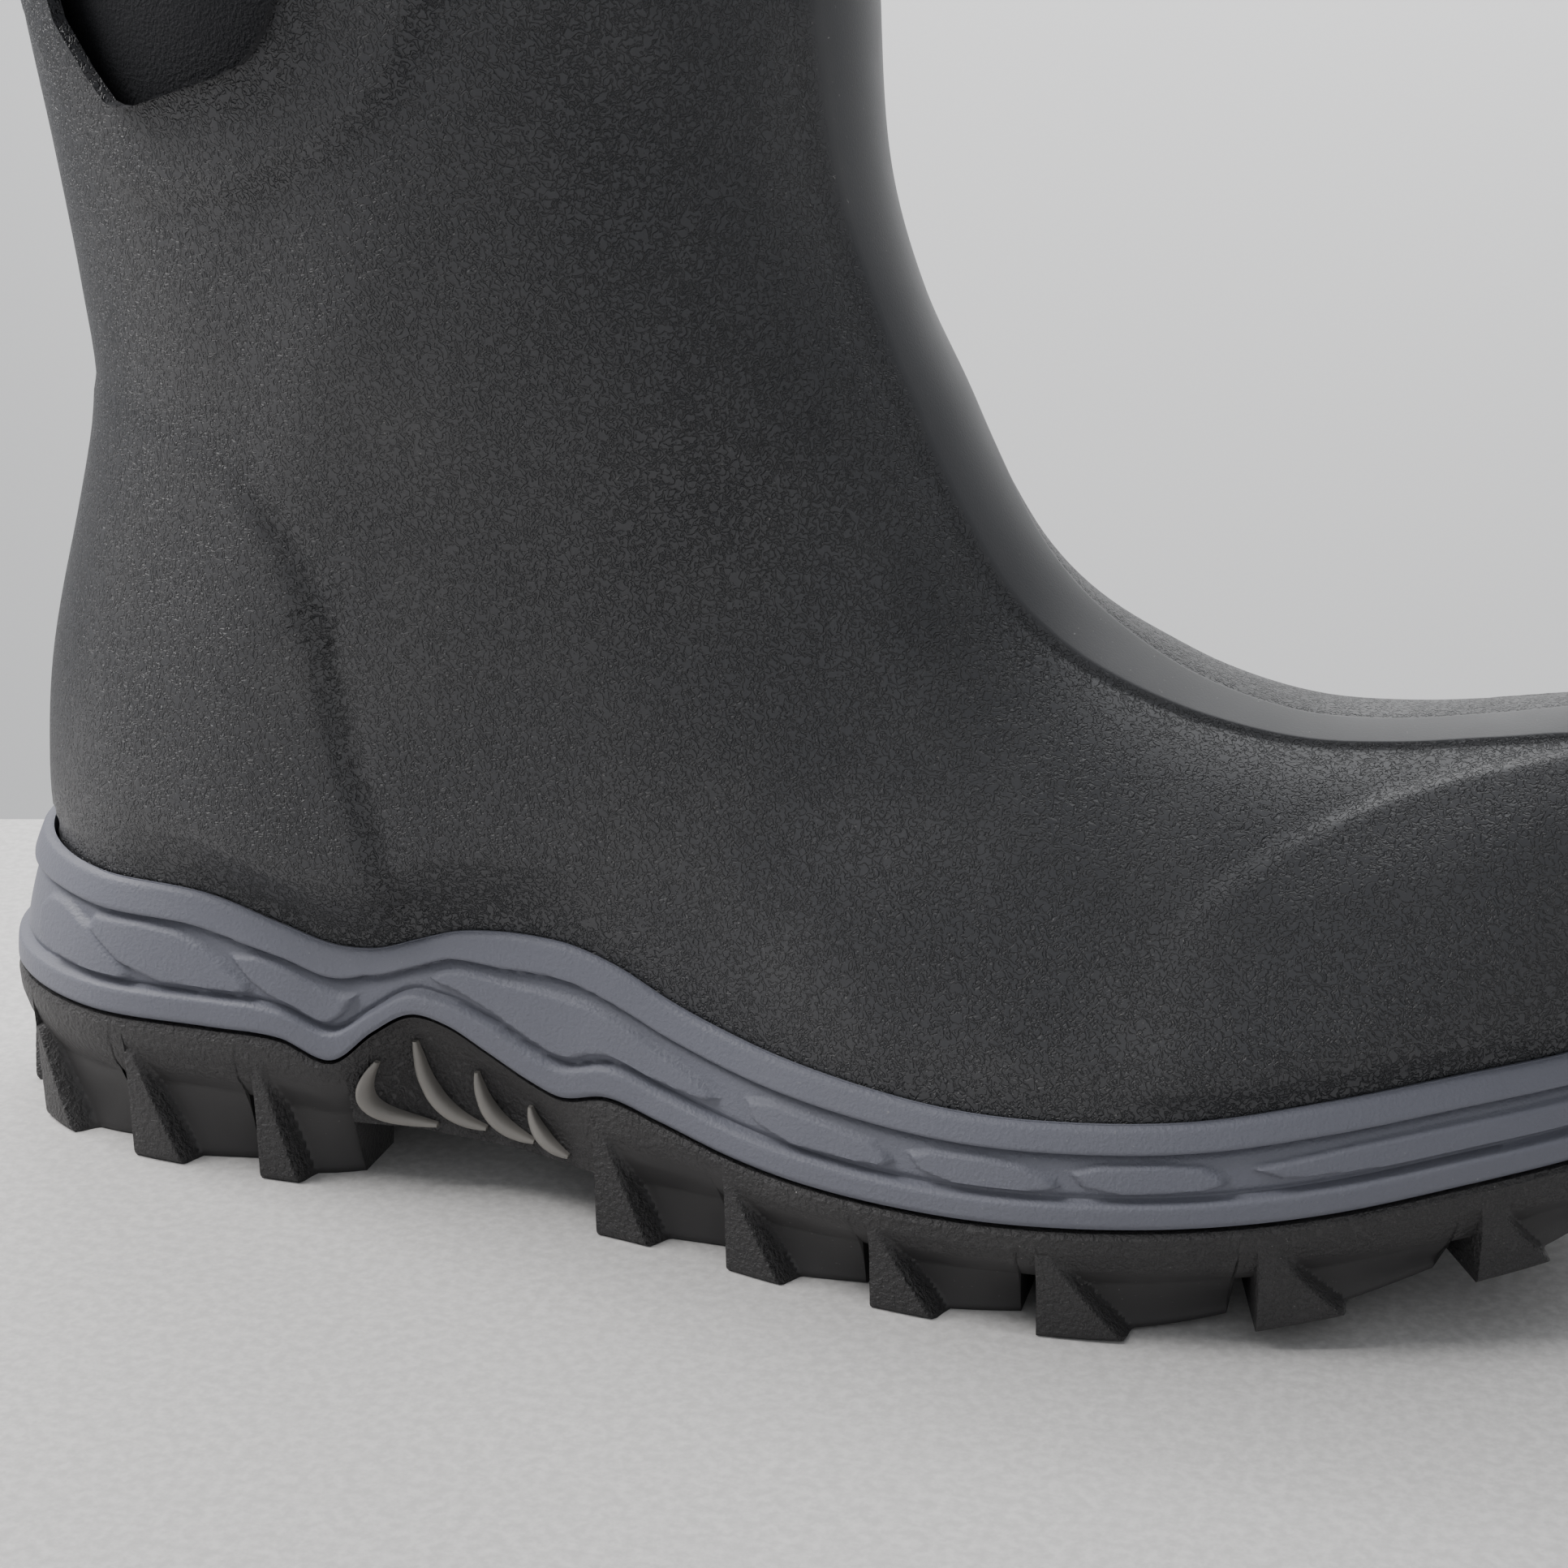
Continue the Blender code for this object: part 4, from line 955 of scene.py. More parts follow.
def add_binding(rows, normals):
    out = GAP + BINDING_WALL
    first = RUBBER_WALL + GAP
    deep = first + NEOPRENE_WALL
    ring, aim = rows[-1, :-1], normals[-1, :-1]
    near, far, top = out - first, -deep - out, out
    centre, half = (near + far) / 2, (near - far) / 2
    turn = np.linspace(0.0, math.pi, 13)
    profile = [(near, -BINDING_DROP), (near, -BINDING_DROP * 0.5)]
    profile += [(centre + half * math.cos(t), top - half * 0.9 + half * 0.9 * math.sin(t)) for t in turn]
    profile += [(far, -BINDING_DROP * 0.5), (far, -BINDING_DROP)]
    inside_near, inside_far = GAP - first, -deep - GAP
    profile += [(inside_far, -BINDING_DROP), (inside_far, GAP)]
    profile += [(inside_near, GAP), (inside_near, -BINDING_DROP)]
    flat = aim.copy()
    flat[:, 2] = 0.0
    flat = flat / np.linalg.norm(flat, axis=1)[:, None]
    lean = -aim[:, 2] / (aim * flat).sum(axis=1)
    levels = []
    for shift, rise in profile:
        slide = flat[:, :2] * lean[:, None] * rise
        levels.append(ring + aim * shift + np.column_stack([slide, np.full(len(ring), rise)]))
    levels = np.array(levels)
    faces = band_faces(len(levels), len(ring), True)
    item = make_object("collar_edge", levels.reshape(-1, 3), faces, "binding_look")
    finish_piece(item, 50)
    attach(item, "root")
    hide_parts("collar_binding")


def finish_piece(item, angle, closed=True):
    deselect_all()
    bpy.context.view_layer.objects.active = item
    item.select_set(True)
    bpy.ops.object.mode_set(mode="EDIT")
    bpy.ops.mesh.select_all(action="SELECT")
    bpy.ops.mesh.remove_doubles(threshold=0.000004)
    if closed:
        bpy.ops.mesh.normals_make_consistent(inside=False)
    bpy.ops.object.mode_set(mode="OBJECT")
    bpy.ops.object.shade_smooth_by_angle(angle=math.radians(angle))
    item.select_set(False)


# Midsole band: one closed run round the sole, level by level
def ring_points(count):
    ring = np.vstack([DENSE, DENSE[:1]])
    run = np.concatenate([[0.0], np.cumsum(np.linalg.norm(np.diff(ring, axis=0), axis=1))])
    wanted = np.linspace(0.0, run[-1], count, endpoint=False)
    return outline_samples(run, wanted)


def panel_relief(x, v, settings):
    out = np.full(x.shape, -1.0)
    for panel in PANELS:
        corners = smooth_corners(panel, 1) * np.array([1.0, 0.055])
        out = np.maximum(out, polygon_distance(x / LENGTH, v * 0.055, corners, (1.0, 1.0)) * LENGTH)
    return settings.relief * 0.85 * ease(0.5 + out / 0.0011)


def add_midsole():
    settings = active_settings("boot_sole")
    points, aims = ring_points(BAND_STEPS)
    x = points[:, 0]
    low = sole_height("band_low", x)
    top = sole_height("band_top", x)
    tall = top - low
    lower = np.full(len(x), settings.rail) * np.clip(tall / 0.017, 0.8, 1.2)
    upper = tall - np.clip(0.0048 * tall / 0.018, 0.0040, 0.0056)
    relief = settings.relief
    inset_top = upper_inset(x)
    levels = []
    under = offset_outline(points, aims, 0.006)
    levels.append(np.column_stack([under, sole_height("band_low", under[:, 0])]))
    for share in np.linspace(0.0, 1.0, BAND_LEVELS):
        z = share * tall
        lean = 0.72 * inset_top * share ** 1.7
        in_channel = ease((z - lower) / 0.0007) * ease((upper - z) / 0.0007)
        groove = bell(z - lower - 0.0007, 0.0006) + bell(upper - z - 0.0006, 0.0006)
        v = np.clip((z - lower - 0.0008) / np.maximum(upper - lower - 0.0016, 0.004), 0, 1)
        panel = panel_relief(x, v, settings)
        depth = in_channel * (relief * 1.05 - panel) + groove * relief * 0.45
        edge_low = 0.0006 * (1 - ease(z / 0.0009))
        edge_top = 0.0011 * (1 - np.sqrt(np.clip(1 - np.clip((z - tall + 0.0011) / 0.0011, 0, 1) ** 2, 0, 1)))
        inset = 0.0001 + lean + depth + edge_low + edge_top
        flat = points + aims * inset[:, None]
        levels.append(np.column_stack([flat, low + z]))
    wall = inset_top - SEAT_GAP
    for height, inset in ((top, wall), (sole_height("footbed", x), wall)):
        levels.append(np.column_stack([offset_outline(points, aims, inset), height]))
    floor = offset_outline(points, aims, wall + 0.006)
    levels.append(np.column_stack([floor, sole_height("footbed", floor[:, 0])]))
    wide = len(points)
    levels = np.array(levels)
    faces = band_faces(len(levels), wide, False)
    faces += ladder(0, wide, False) + ladder((len(levels) - 1) * wide, wide, True)
    item = make_object("midsole_side", levels.reshape(-1, 3), faces, "band_look")
    finish_piece(item, 60)
    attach(item, "root")
    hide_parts("midsole_band")


def arch_share(x):
    share = x / LENGTH
    return ease((share - 0.240) / 0.060) * (1 - ease((share - 0.345) / 0.080))


def wall_inset(x, drop):
    plain = np.interp(drop, column(WALL, WALL_COLUMNS, "drop"), column(WALL, WALL_COLUMNS, "inset"))
    arched = np.interp(drop, column(WALL, WALL_COLUMNS, "drop"), column(WALL, WALL_COLUMNS, "arch_inset"))
    share = arch_share(x)
    return plain * (1 - share) + arched * share


def fine_wall(points, aims, steps):
    x = points[:, 0]
    top = sole_height("band_low", x) - SEAT_GAP
    plate = sole_height("plate", x)
    levels = []
    for drop in np.linspace(0.0, 1.0, steps):
        flat = points + aims * wall_inset(x, np.full(x.shape, drop))[:, None]
        levels.append(np.column_stack([flat, top + (plate - top) * drop]))
    return levels


# Lugs by share of each half outline: scoops with saw-tooth ends and grooves between
def lug_fields(points):
    ring = np.vstack([points, points[:1]])
    run = np.concatenate([[0.0], np.cumsum(np.linalg.norm(np.diff(ring, axis=0), axis=1))])
    tip = int(np.argmax(points[:, 0]))
    spot = run[:-1]
    first = spot / run[tip]
    second = (run[-1] - spot) / (run[-1] - run[tip])
    share = np.where(np.arange(len(points)) <= tip, first, second)
    inside = np.zeros(len(points))
    place = np.zeros(len(points))
    length = np.full(len(points), 0.02)
    peak = np.zeros(len(points))
    for start, end, fin in LUGS:
        here = (share >= start) & (share <= end)
        inside[here] = 1.0
        place[here] = (share[here] - start) / (end - start)
        length[here] = (end - start) * run[tip]
        peak[here] = fin * HEEL_STACK
    for index in range(len(LUGS) - 1):
        gap = (share > LUGS[index][1]) & (share < LUGS[index + 1][0])
        if LUGS[index + 1][0] - LUGS[index][1] < 0.03:
            place[gap] = 1.0
            peak[gap] = LUGS[index][2] * HEEL_STACK
            length[gap] = (LUGS[index][1] - LUGS[index][0]) * run[tip]
    return inside, place, length, peak


def add_outsole():
    settings = active_settings("boot_sole")
    points, aims = ring_points(TREAD_STEPS)
    x = points[:, 0]
    inside, place, length, peak = lug_fields(points)
    top = sole_height("band_low", x) - SEAT_GAP
    plate = sole_height("plate", x)
    tread = sole_height("tread", x)
    foot = np.where(inside > 0, tread, plate)
    peak = np.where(peak > 0, peak, plate)
    over = offset_outline(points, aims, 0.006)
    levels = [np.column_stack([over, sole_height("band_low", over[:, 0]) - SEAT_GAP])]
    marks = [np.ones(len(x))]
    for t in np.linspace(0.0, 1.0, TREAD_LEVELS):
        z = top + (foot - top) * t
        drop = np.clip((top - z) / np.maximum(top - plate, 0.001), 0.0, 1.0)
        base = wall_inset(x, drop)
        deep = np.clip((peak - z) / np.maximum(peak - tread, 0.002), 0.0, 1.0) * (peak > plate + 0.0005)
        fin = 0.05 + 0.40 * deep
        past = ease((place - fin) * length / 0.0016)
        along = np.clip((place - fin) / (1 - fin), 0.0, 1.0)
        scoop = settings.scoop * past * ease(deep / 0.9) * (0.35 + 0.65 * along)
        face = (1 - past) * np.minimum(base, 0.0002 + 0.0006 * deep) + past * base
        mixed = np.where(deep > 0, face, base)
        edge = 0.0006 * ease((t - 0.965) / 0.035) * inside
        inset = mixed + scoop + edge
        levels.append(np.column_stack([points + aims * inset[:, None], z]))
        marks.append(1.0 - past * ease(deep / 0.25))
    last = inset
    reach = np.full(len(x), LUG_REACH)
    for share in (0.10, 0.5, 1.0):
        step = last + (reach - last) * share
        levels.append(np.column_stack([offset_outline(points, aims, step), foot]))
        marks.append(np.full(len(x), 0.6))
    under = offset_outline(points, aims, reach + 0.0012)
    levels.append(np.column_stack([under, sole_height("plate", under[:, 0])]))
    marks.append(np.full(len(x), 0.6))
    wide = len(points)
    faces = band_faces(len(levels), wide, False)
    faces += ladder(0, wide, False) + ladder((len(levels) - 1) * wide, wide, True)
    item = make_object("lugged_outsole", np.vstack(levels), faces, "tread_look")
    set_attribute(item, "grain", np.concatenate(marks))
    finish_piece(item, 32)
    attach(item, "root")
    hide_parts("outsole")
    return points, aims


# Blocks down the middle of the tread, shaped as by hand from a cube each
def add_tread_blocks():
    parts = []
    for along, across, half_length, half_width in MIDDLE_LUGS:
        x, y = along * LENGTH, across * FOREFOOT_WIDTH
        dx, dy = half_length * LENGTH, half_width * FOREFOOT_WIDTH
        low, high = float(sole_height("tread", x)), float(sole_height("plate", x)) + 0.002
        deselect_all()
        place = (x - HALF_LENGTH, y, (low + high) / 2)
        bpy.ops.mesh.primitive_cube_add(size=1.0, location=place)
        block = bpy.context.object
        block.scale = (2 * dx, 2 * dy, high - low)
        bpy.ops.object.transform_apply(location=True, rotation=False, scale=True)
        for vertex in block.data.vertices:
            front = vertex.co.x > x - HALF_LENGTH
            if front:
                vertex.co.y = y + (vertex.co.y - y) * 0.7
            if vertex.co.z < (low + high) / 2:
                vertex.co.z = float(sole_height("tread", vertex.co.x + HALF_LENGTH))
        bevel = block.modifiers.new("Round the corners", "BEVEL")
        bevel.width = 0.0007
        bevel.segments = 3
        bpy.ops.object.modifier_apply(modifier=bevel.name)
        parts.append(block)
    deselect_all()
    for block in parts:
        block.select_set(True)
    bpy.context.view_layer.objects.active = parts[0]
    bpy.ops.object.join()
    item = bpy.context.object
    item.name = "tread_blocks"
    item.data.materials.clear()
    item.data.materials.append(bpy.data.materials["tread_look"])
    set_attribute(item, "grain", np.full(len(item.data.vertices), 0.6))
    finish_piece(item, 32)
    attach(item, "root")


def wall_point(levels, x, z, side, proud):
    across, heights = [], []
    for level in levels[::-1]:
        tip = int(np.argmax(level[:, 0]))
        part = level[: tip + 1] if side < 0 else level[tip:][::-1]
        across.append(np.interp(x, part[:, 0], part[:, 1]))
        heights.append(np.interp(x, part[:, 0], part[:, 2]))
    return (x, np.interp(z, heights, across) + side * proud, z)


def rib_levels(wall, side, row):
    top_x, top_z, bend_x, bend_z, tail_x, tail_z = row
    t = np.linspace(0.0, 1.0, 33)
    ctrl_x = 2 * bend_x - (top_x + tail_x) / 2
    ctrl_z = 2 * bend_z - (top_z + tail_z) / 2
    x = LENGTH * ((1 - t) ** 2 * top_x + 2 * t * (1 - t) * ctrl_x + t * t * tail_x)
    z = HEEL_STACK * ((1 - t) ** 2 * top_z + 2 * t * (1 - t) * ctrl_z + t * t * tail_z)
    dx, dz = np.gradient(x), np.gradient(z)
    size = np.hypot(dx, dz)
    dx, dz = dx / size, dz / size
    swell = np.sin(math.pi * (0.05 + 0.90 * t)) ** 0.7
    turn = np.linspace(math.pi, 0.0, 11)
    levels = []
    for i in range(len(t)):
        half = RIB_WIDTH * swell[i]
        ring = []
        for angle in turn:
            share, lift = 0.5 * math.cos(angle), 0.1 + 0.9 * math.sin(angle) ** 0.7
            px, pz = x[i] + dz[i] * half * share, z[i] - dx[i] * half * share
            ring.append(wall_point(wall, px, pz, side, 2 * GAP + RIB_PROUD * swell[i] * lift))
        for share in (0.5, -0.5):
            px, pz = x[i] + dz[i] * half * share, z[i] - dx[i] * half * share
            ring.append(wall_point(wall, px, pz, side, 0.2 * GAP))
        levels.append(ring)
    return levels


def add_ribs(points, aims):
    wall = fine_wall(points, aims, 9)
    for side, word in ((-1, "lateral"), (1, "medial")):
        for number, row in enumerate(RIBS, 1):
            levels = rib_levels(wall, side, row)
            wide = len(levels[0])
            faces = band_faces(len(levels), wide, False)
            faces.append(tuple(range(wide))[::-1])
            faces.append(tuple(range((len(levels) - 1) * wide, len(levels) * wide)))
            vertices = [p for ring in levels for p in ring]
            item = make_object(f"rib_{word}_{number}", vertices, faces, "rib_look")
            finish_piece(item, 60)
            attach(item, "root")
            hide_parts(f"arch_rib_{word}_{number}")


# Materials are built from small named groups of nodes
def new_group(name, inputs, outputs):
    group = bpy.data.node_groups.new(name, "ShaderNodeTree")
    for label, kind, value in inputs:
        socket = group.interface.new_socket(name=label, in_out="INPUT", socket_type=kind)
        socket.default_value = value
    for label, kind in outputs:
        group.interface.new_socket(name=label, in_out="OUTPUT", socket_type=kind)
    start = group.nodes.new("NodeGroupInput")
    end = group.nodes.new("NodeGroupOutput")
    return group, start, end


def add_node(tree, kind, links=(), **settings):
    node = tree.nodes.new(kind)
    sockets = settings.pop("sockets", {})
    for key, value in settings.items():
        setattr(node, key, value)
    for key, value in sockets.items():
        node.inputs[key].default_value = value
    for socket, key in links:
        tree.links.new(socket, node.inputs[key])
    return node


def math_node(tree, operation, first, second=None, third=None, clamp=False):
    node = tree.nodes.new("ShaderNodeMath")
    node.operation = operation
    node.use_clamp = clamp
    for index, value in enumerate((first, second, third)):
        if value is None:
            continue
        if isinstance(value, (int, float)):
            node.inputs[index].default_value = value
        else:
            tree.links.new(value, node.inputs[index])
    return node.outputs[0]


def ramp_value(tree, value, low, high, to_low=0.0, to_high=1.0):
    node = tree.nodes.new("ShaderNodeMapRange")
    node.interpolation_type = "SMOOTHSTEP"
    tree.links.new(value, node.inputs["Value"])
    node.inputs["From Min"].default_value = low
    node.inputs["From Max"].default_value = high
    node.inputs["To Min"].default_value = to_low
    node.inputs["To Max"].default_value = to_high
    return node.outputs["Result"]


def noise_value(tree, place, scale, detail=2.0, roughness=0.5, distortion=0.0):
    node = add_node(tree, "ShaderNodeTexNoise", [(place, "Vector")])
    values = {"Scale": scale, "Detail": detail, "Roughness": roughness, "Distortion": distortion}
    for key, value in values.items():
        if isinstance(value, (int, float)):
            node.inputs[key].default_value = value
        else:
            tree.links.new(value, node.inputs[key])
    return node.outputs["Fac"]


def grain_inputs(scale):
    place = ("Place", "NodeSocketVector", (0, 0, 0))
    return place, ("Scale", "NodeSocketFloat", scale), ("Mask", "NodeSocketFloat", 1.0)


# Worm-like raised grain: the bands where a noise passes its middle value
def make_worm_group():
    inputs = grain_inputs(500.0)
    group, start, end = new_group("Worm grain", inputs, (("Height", "NodeSocketFloat"),))
    base = noise_value(group, start.outputs["Place"], start.outputs["Scale"], 0.6, 0.4, 0.9)
    away = math_node(group, "ABSOLUTE", math_node(group, "SUBTRACT", base, 0.5))
    ridge = ramp_value(group, away, 0.0, 0.10)
    masked = math_node(group, "MULTIPLY", ridge, start.outputs["Mask"])
    group.links.new(masked, end.inputs["Height"])
    return group


# Fine matt skin: two sizes of noise
def make_pebble_group():
    inputs = grain_inputs(900.0)
    group, start, end = new_group("Pebble skin", inputs, (("Height", "NodeSocketFloat"),))
    base = noise_value(group, start.outputs["Place"], start.outputs["Scale"], 3.0, 0.6)
    sharp = ramp_value(group, base, 0.35, 0.68)
    group.links.new(math_node(group, "MULTIPLY", sharp, start.outputs["Mask"]), end.inputs["Height"])
    return group


# Slow changes of tone and gloss, with light lint and dust
def make_wear_group():
    inputs = (
        ("Place", "NodeSocketVector", (0, 0, 0)),
        ("Colour", "NodeSocketColor", (0.03, 0.03, 0.03, 1.0)),
        ("Roughness", "NodeSocketFloat", 0.5),
        ("Dust", "NodeSocketFloat", 0.3),
        ("Film", "NodeSocketFloat", 0.035),
    )
    outputs = (("Colour", "NodeSocketColor"), ("Roughness", "NodeSocketFloat"), ("Dust", "NodeSocketFloat"))
    group, start, end = new_group("Wear", inputs, outputs)
    slow = noise_value(group, start.outputs["Place"], 28.0, 4.0, 0.6)
    fine = noise_value(group, start.outputs["Place"], 1500.0, 2.0, 0.6)
    specks = ramp_value(group, fine, 0.70, 0.76)
    cloud = ramp_value(group, slow, 0.42, 0.72)
    dusty = math_node(group, "MULTIPLY", math_node(group, "MULTIPLY", specks, cloud), start.outputs["Dust"])
    film = math_node(group, "MULTIPLY", cloud, start.outputs["Film"])
    amount = math_node(group, "ADD", dusty, film, clamp=True)
    mix = add_node(group, "ShaderNodeMix", data_type="RGBA")
    group.links.new(amount, mix.inputs["Factor"])
    group.links.new(start.outputs["Colour"], mix.inputs[6])
    mix.inputs[7].default_value = (0.42, 0.41, 0.39, 1.0)
    group.links.new(mix.outputs[2], end.inputs["Colour"])
    change = ramp_value(group, slow, 0.30, 0.75, -0.05, 0.07)
    rough = math_node(group, "ADD", start.outputs["Roughness"], change, clamp=True)
    group.links.new(rough, end.inputs["Roughness"])
    group.links.new(dusty, end.inputs["Dust"])
    return group


def group_node(tree, group, links=(), **values):
    node = tree.nodes.new("ShaderNodeGroup")
    node.node_tree = group
    for key, value in values.items():
        node.inputs[key].default_value = value
    for socket, key in links:
        tree.links.new(socket, node.inputs[key])
    return node


def new_material(name):
    material = bpy.data.materials.new(name)
    material.use_nodes = True
    tree = material.node_tree
    shader = tree.nodes["Principled BSDF"]
    place = tree.nodes.new("ShaderNodeTexCoord").outputs["Object"]
    return tree, shader, place


def plain_look(name, colour, roughness, coat, wear, dust, bumps):
    tree, shader, place = new_material(name)
    worn = group_node(tree, wear, [(place, "Place")], Colour=(*colour, 1.0), Roughness=roughness, Dust=dust)
    tree.links.new(worn.outputs["Colour"], shader.inputs["Base Color"])
    tree.links.new(worn.outputs["Roughness"], shader.inputs["Roughness"])
    shader.inputs["Coat Weight"].default_value = coat
    shader.inputs["Coat Roughness"].default_value = 0.35
    film = DUST_FILM if max(colour) > 0.01 else LINING_FILM
    worn.inputs["Film"].default_value = film
    normal = None
    for group, scale, mask_name, strength, distance in bumps:
        part = group_node(tree, group, [(place, "Place")], Scale=scale)
        if mask_name:
            mask = add_node(tree, "ShaderNodeAttribute", attribute_name=mask_name)
            tree.links.new(mask.outputs["Fac"], part.inputs["Mask"])
        bump = tree.nodes.new("ShaderNodeBump")
        bump.inputs["Strength"].default_value = strength
        bump.inputs["Distance"].default_value = distance
        tree.links.new(part.outputs["Height"], bump.inputs["Height"])
        if normal:
            tree.links.new(normal, bump.inputs["Normal"])
        normal = bump.outputs["Normal"]
    tree.links.new(normal, shader.inputs["Normal"])


def add_materials():
    upper, sole = active_settings("boot_upper"), active_settings("boot_sole")
    worm, pebble, wear = make_worm_group(), make_pebble_group(), make_wear_group()
    grain = ((worm, 1050.0, "grain", upper.grain, 0.0005), (pebble, 2600.0, None, 0.12, 0.0001))
    plain_look("black_rubber_look", upper.colour, 0.50, 0.10, wear, 0.5, grain)
    knit = ((pebble, 1700.0, None, 0.7, 0.0003),)
    plain_look("neoprene_look", upper.knit, 0.90, 0.0, wear, 0.08, knit)
    weave = ((pebble, 1300.0, None, 0.8, 0.0003),)
    plain_look("binding_look", (0.016, 0.017, 0.020), 0.8, 0.0, wear, 0.3, weave)
    plain_look("insole_look", (0.050, 0.052, 0.056), 0.9, 0.0, wear, 0.4, weave)
    plain_look("band_look", sole.band, 0.58, 0.0, wear, 0.5, ((pebble, 1500.0, None, 0.30, 0.00025),))
    coarse = ((pebble, 1100.0, "grain", 0.75, 0.0005), (pebble, 3000.0, None, 0.12, 0.0001))
    plain_look("tread_look", sole.tread, 0.55, 0.05, wear, 0.6, coarse)
    plain_look("rib_look", sole.rib, 0.45, 0.05, wear, 0.3, ((pebble, 1600.0, None, 0.10, 0.0002),))


def stage_material(name, colour, roughness, specks):
    tree, shader, place = new_material(name)
    shader.inputs["Roughness"].default_value = roughness
    noise = noise_value(tree, place, 500.0, 3.0, 0.65)
    mask = ramp_value(tree, noise, 0.30, 0.75, 1.0 - specks, 1.0)
    mix = add_node(tree, "ShaderNodeMix", data_type="RGBA", blend_type="MULTIPLY")
    mix.inputs["Factor"].default_value = 1.0
    mix.inputs[6].default_value = (*colour, 1.0)
    tree.links.new(mask, mix.inputs[7])
    tree.links.new(mix.outputs[2], shader.inputs["Base Color"])


def add_area(name, place, aim, size, energy, colour):
    data = bpy.data.lights.new(name, "AREA")
    data.shape = "RECTANGLE"
    data.size, data.size_y = size
    data.energy = energy
    data.color = colour
    item = bpy.data.objects.new(name, data)
    bpy.context.scene.collection.objects.link(item)
    item.location = place
    direction = mathutils.Vector(aim) - mathutils.Vector(place)
    item.rotation_euler = direction.to_track_quat("-Z", "Y").to_euler()


def add_stage():
    settings = active_settings("boot_stage")
    stage_material("table_look", (0.66, 0.65, 0.64), 0.60, 0.22)
    stage_material("wall_look", (0.88, 0.88, 0.88), 0.9, 0.02)
    deselect_all()
    bpy.ops.mesh.primitive_plane_add(size=1.0, location=(0.0, 0.0, 0.0))
    floor = bpy.context.object
    floor.name = "stage_floor"
    floor.scale = (5.0, TABLE_DEPTH, 1.0)
    floor.rotation_euler = (0.0, 0.0, settings.azimuth)
    ahead = np.array([-math.sin(settings.azimuth), math.cos(settings.azimuth)])
    middle = np.array(CAMERA_PLACE[:2]) + ahead * (TABLE_EDGE - TABLE_DEPTH / 2)
    floor.location = (*middle, 0.0)
    bpy.ops.object.transform_apply(location=True, rotation=True, scale=True)
    floor.data.materials.append(bpy.data.materials["table_look"])
    bpy.ops.mesh.primitive_plane_add(size=1.0, location=(0.0, 0.0, 0.0))
    wall = bpy.context.object
    wall.name = "stage_wall"
    wall.scale = (9.0, 6.0, 1.0)
    wall.rotation_euler = (math.radians(90), 0.0, math.radians(10))
    wall.location = (0.0, 2.4, 0.0)
    bpy.ops.object.transform_apply(location=True, rotation=True, scale=True)
    wall.data.materials.append(bpy.data.materials["wall_look"])
    world = bpy.data.worlds.new("Studio")
    bpy.context.scene.world = world
    world.use_nodes = True
    background = world.node_tree.nodes["Background"]
    background.inputs["Color"].default_value = (0.95, 0.97, 1.0, 1.0)
    background.inputs["Strength"].default_value = 0.45
    add_area("Key light", (-0.9, -0.1, 1.1), (0.0, 0.0, 0.12), (0.9, 0.7), 30.0, (1.0, 0.98, 0.97))
    add_area("Top light", (0.2, 0.7, 1.3), (0.0, 0.0, 0.1), (1.6, 0.8), 7.0, (0.97, 0.98, 1.0))
    add_area("Fill light", (0.6, -1.5, 0.8), (0.0, 0.0, 0.08), (1.4, 1.0), 2.0, (0.96, 0.98, 1.0))
    add_area("Wall light", (0.0, 1.2, 1.6), (0.0, 2.4, 0.4), (2.5, 0.8), 75.0, (1.0, 1.0, 1.0))
    data = bpy.data.cameras.new("Photo camera")
    data.lens = settings.lens
    data.sensor_width = 36.0
    data.clip_start = 0.01
    camera = bpy.data.objects.new("Photo camera", data)
    bpy.context.scene.collection.objects.link(camera)
    camera.location = CAMERA_PLACE
    camera.rotation_euler = (math.radians(90) - settings.elevation, 0.0, settings.azimuth)
    bpy.context.scene.camera = camera


class BOOT_OT_materials(bpy.types.Operator):
    """Make the rubber, fabric and foam materials"""

    bl_idname = "boot.materials"
    bl_label = "Make materials"

    def execute(self, context):
        add_materials()
        item = frame["nodes"]["insole"]
        for slot in item.material_slots:
            slot.material = bpy.data.materials["insole_look"]
        return {"FINISHED"}


class BOOT_OT_upper(bpy.types.Operator):
    """Build the rubber upper, the soft lining and the collar binding"""

    bl_idname = "boot.upper"
    bl_label = "Build upper"

    def execute(self, context):
        rows, normals = add_upper()
        add_lining(rows, normals)
        add_inside(rows, normals)
        add_binding(rows, normals)
        return {"FINISHED"}


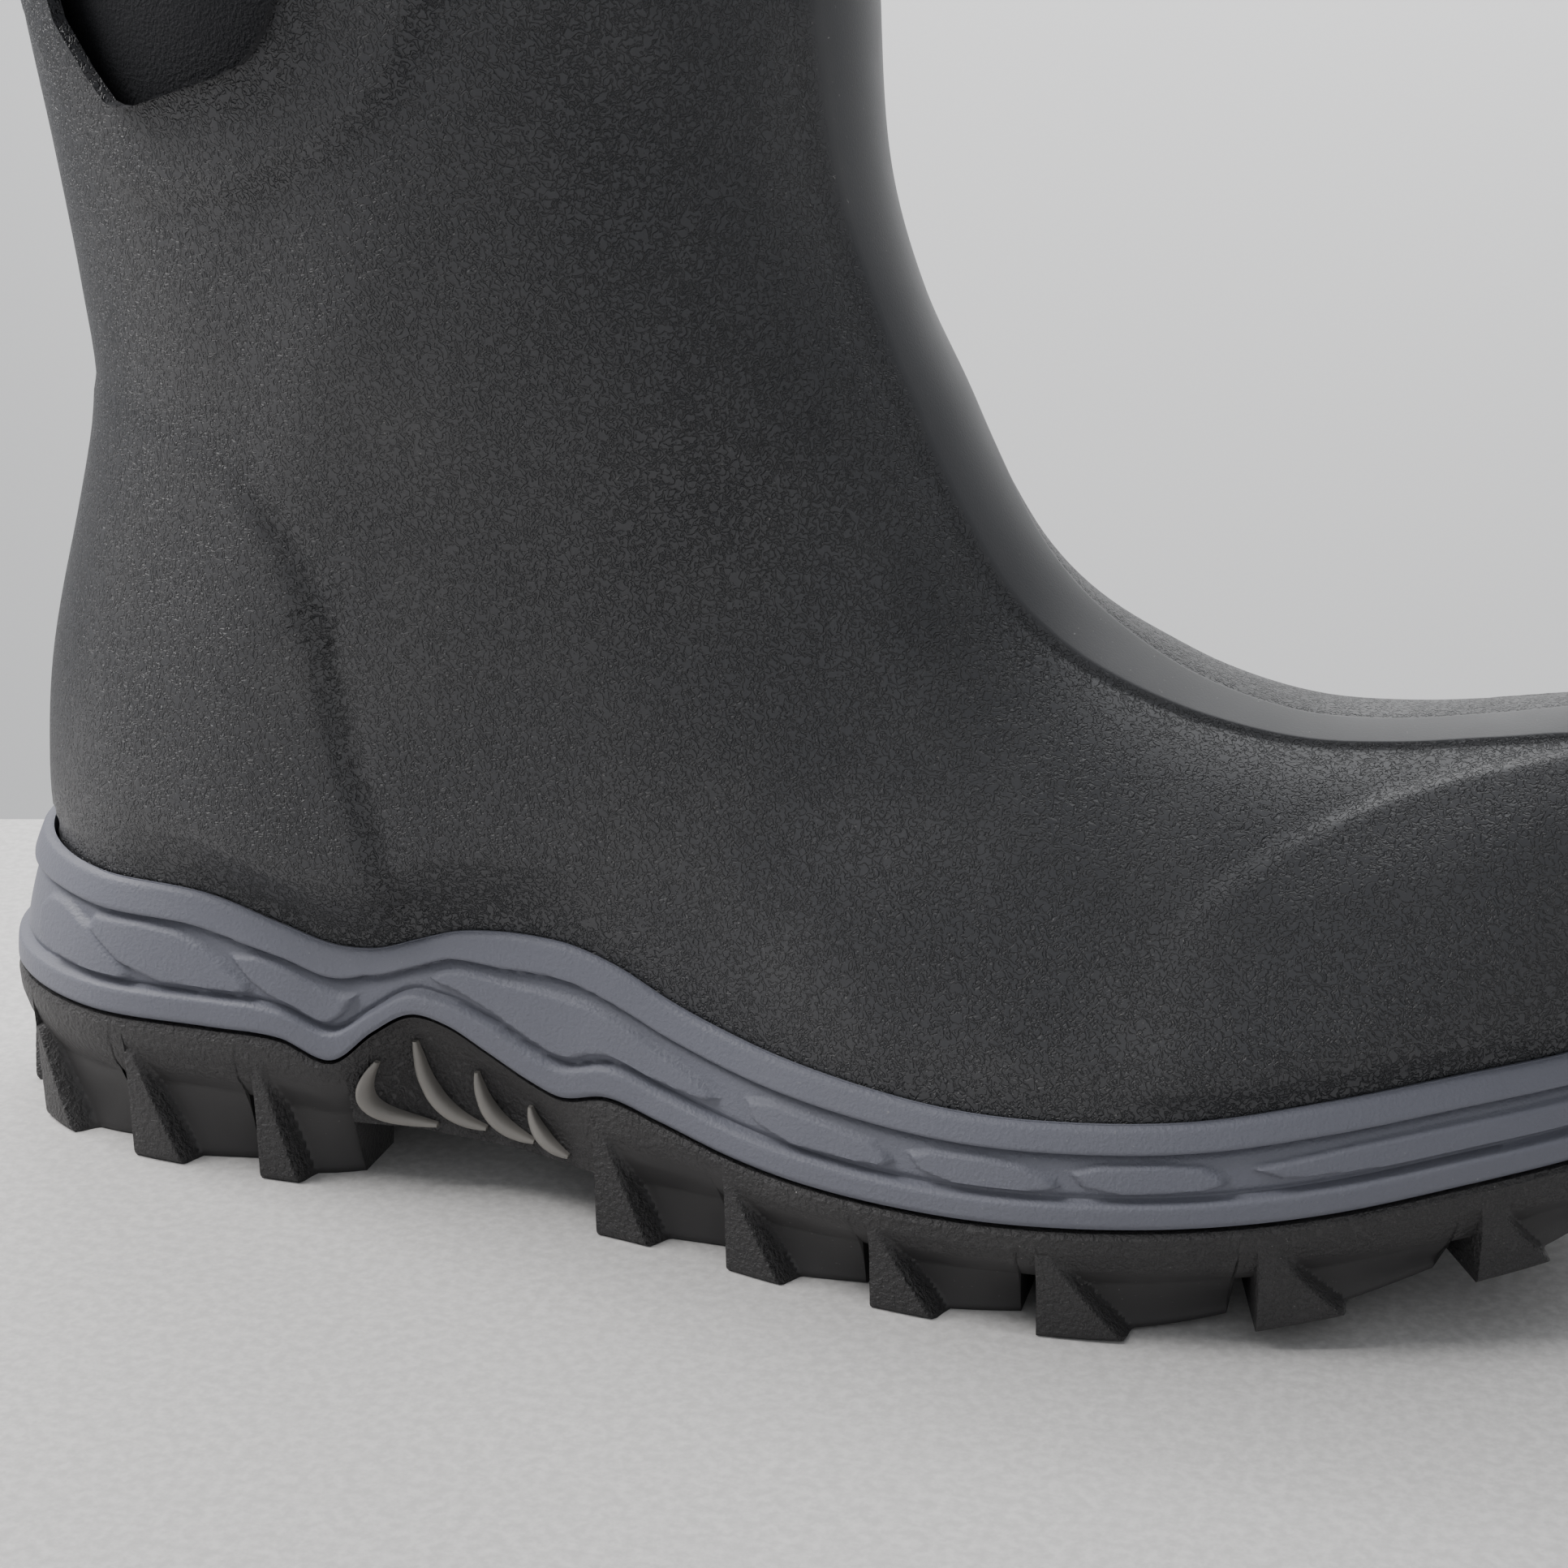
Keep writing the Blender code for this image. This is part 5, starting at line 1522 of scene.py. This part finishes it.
class BOOT_OT_midsole(bpy.types.Operator):
    """Build the wavy band round the sole with its rails and panels"""

    bl_idname = "boot.midsole"
    bl_label = "Build midsole band"

    def execute(self, context):
        add_midsole()
        return {"FINISHED"}


class BOOT_OT_outsole(bpy.types.Operator):
    """Build the lugged outsole, its middle blocks and the pale arch ribs"""

    bl_idname = "boot.outsole"
    bl_label = "Build outsole"

    def execute(self, context):
        points, aims = add_outsole()
        add_tread_blocks()
        add_ribs(points, aims)
        return {"FINISHED"}


class BOOT_OT_stage(bpy.types.Operator):
    """Set up the floor, the wall, the lights and the camera"""

    bl_idname = "boot.stage"
    bl_label = "Set up stage"

    def execute(self, context):
        add_stage()
        return {"FINISHED"}


class BOOT_PT_panel(bpy.types.Panel):
    """Settings and steps for the boot's looks"""

    bl_idname = "BOOT_PT_panel"
    bl_label = "Rubber boot looks"
    bl_space_type = "VIEW_3D"
    bl_region_type = "UI"
    bl_category = "Boot"

    def draw(self, context):
        layout = self.layout
        for name in ("boot_upper", "boot_sole", "boot_stage"):
            settings = getattr(context.scene, name)
            box = layout.box()
            for key in settings.__annotations__:
                box.prop(settings, key)
        for operator in STEPS:
            layout.operator(operator.bl_idname)


STEPS = (BOOT_OT_materials, BOOT_OT_upper, BOOT_OT_midsole, BOOT_OT_outsole, BOOT_OT_stage)
GROUPS = (("boot_upper", BOOT_PG_upper), ("boot_sole", BOOT_PG_sole), ("boot_stage", BOOT_PG_stage))


def register():
    for name, group in GROUPS:
        bpy.utils.register_class(group)
        setattr(bpy.types.Scene, name, PointerProperty(type=group))
    for step in (*STEPS, BOOT_PT_panel):
        bpy.utils.register_class(step)


def unregister():
    for step in (BOOT_PT_panel, *STEPS[::-1]):
        bpy.utils.unregister_class(step)
    for name, group in GROUPS[::-1]:
        delattr(bpy.types.Scene, name)
        bpy.utils.unregister_class(group)


def main():
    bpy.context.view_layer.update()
    register()
    for step in STEPS:
        family, name = step.bl_idname.split(".")
        getattr(getattr(bpy.ops, family), name)()


if __name__ == "__main__":
    main()
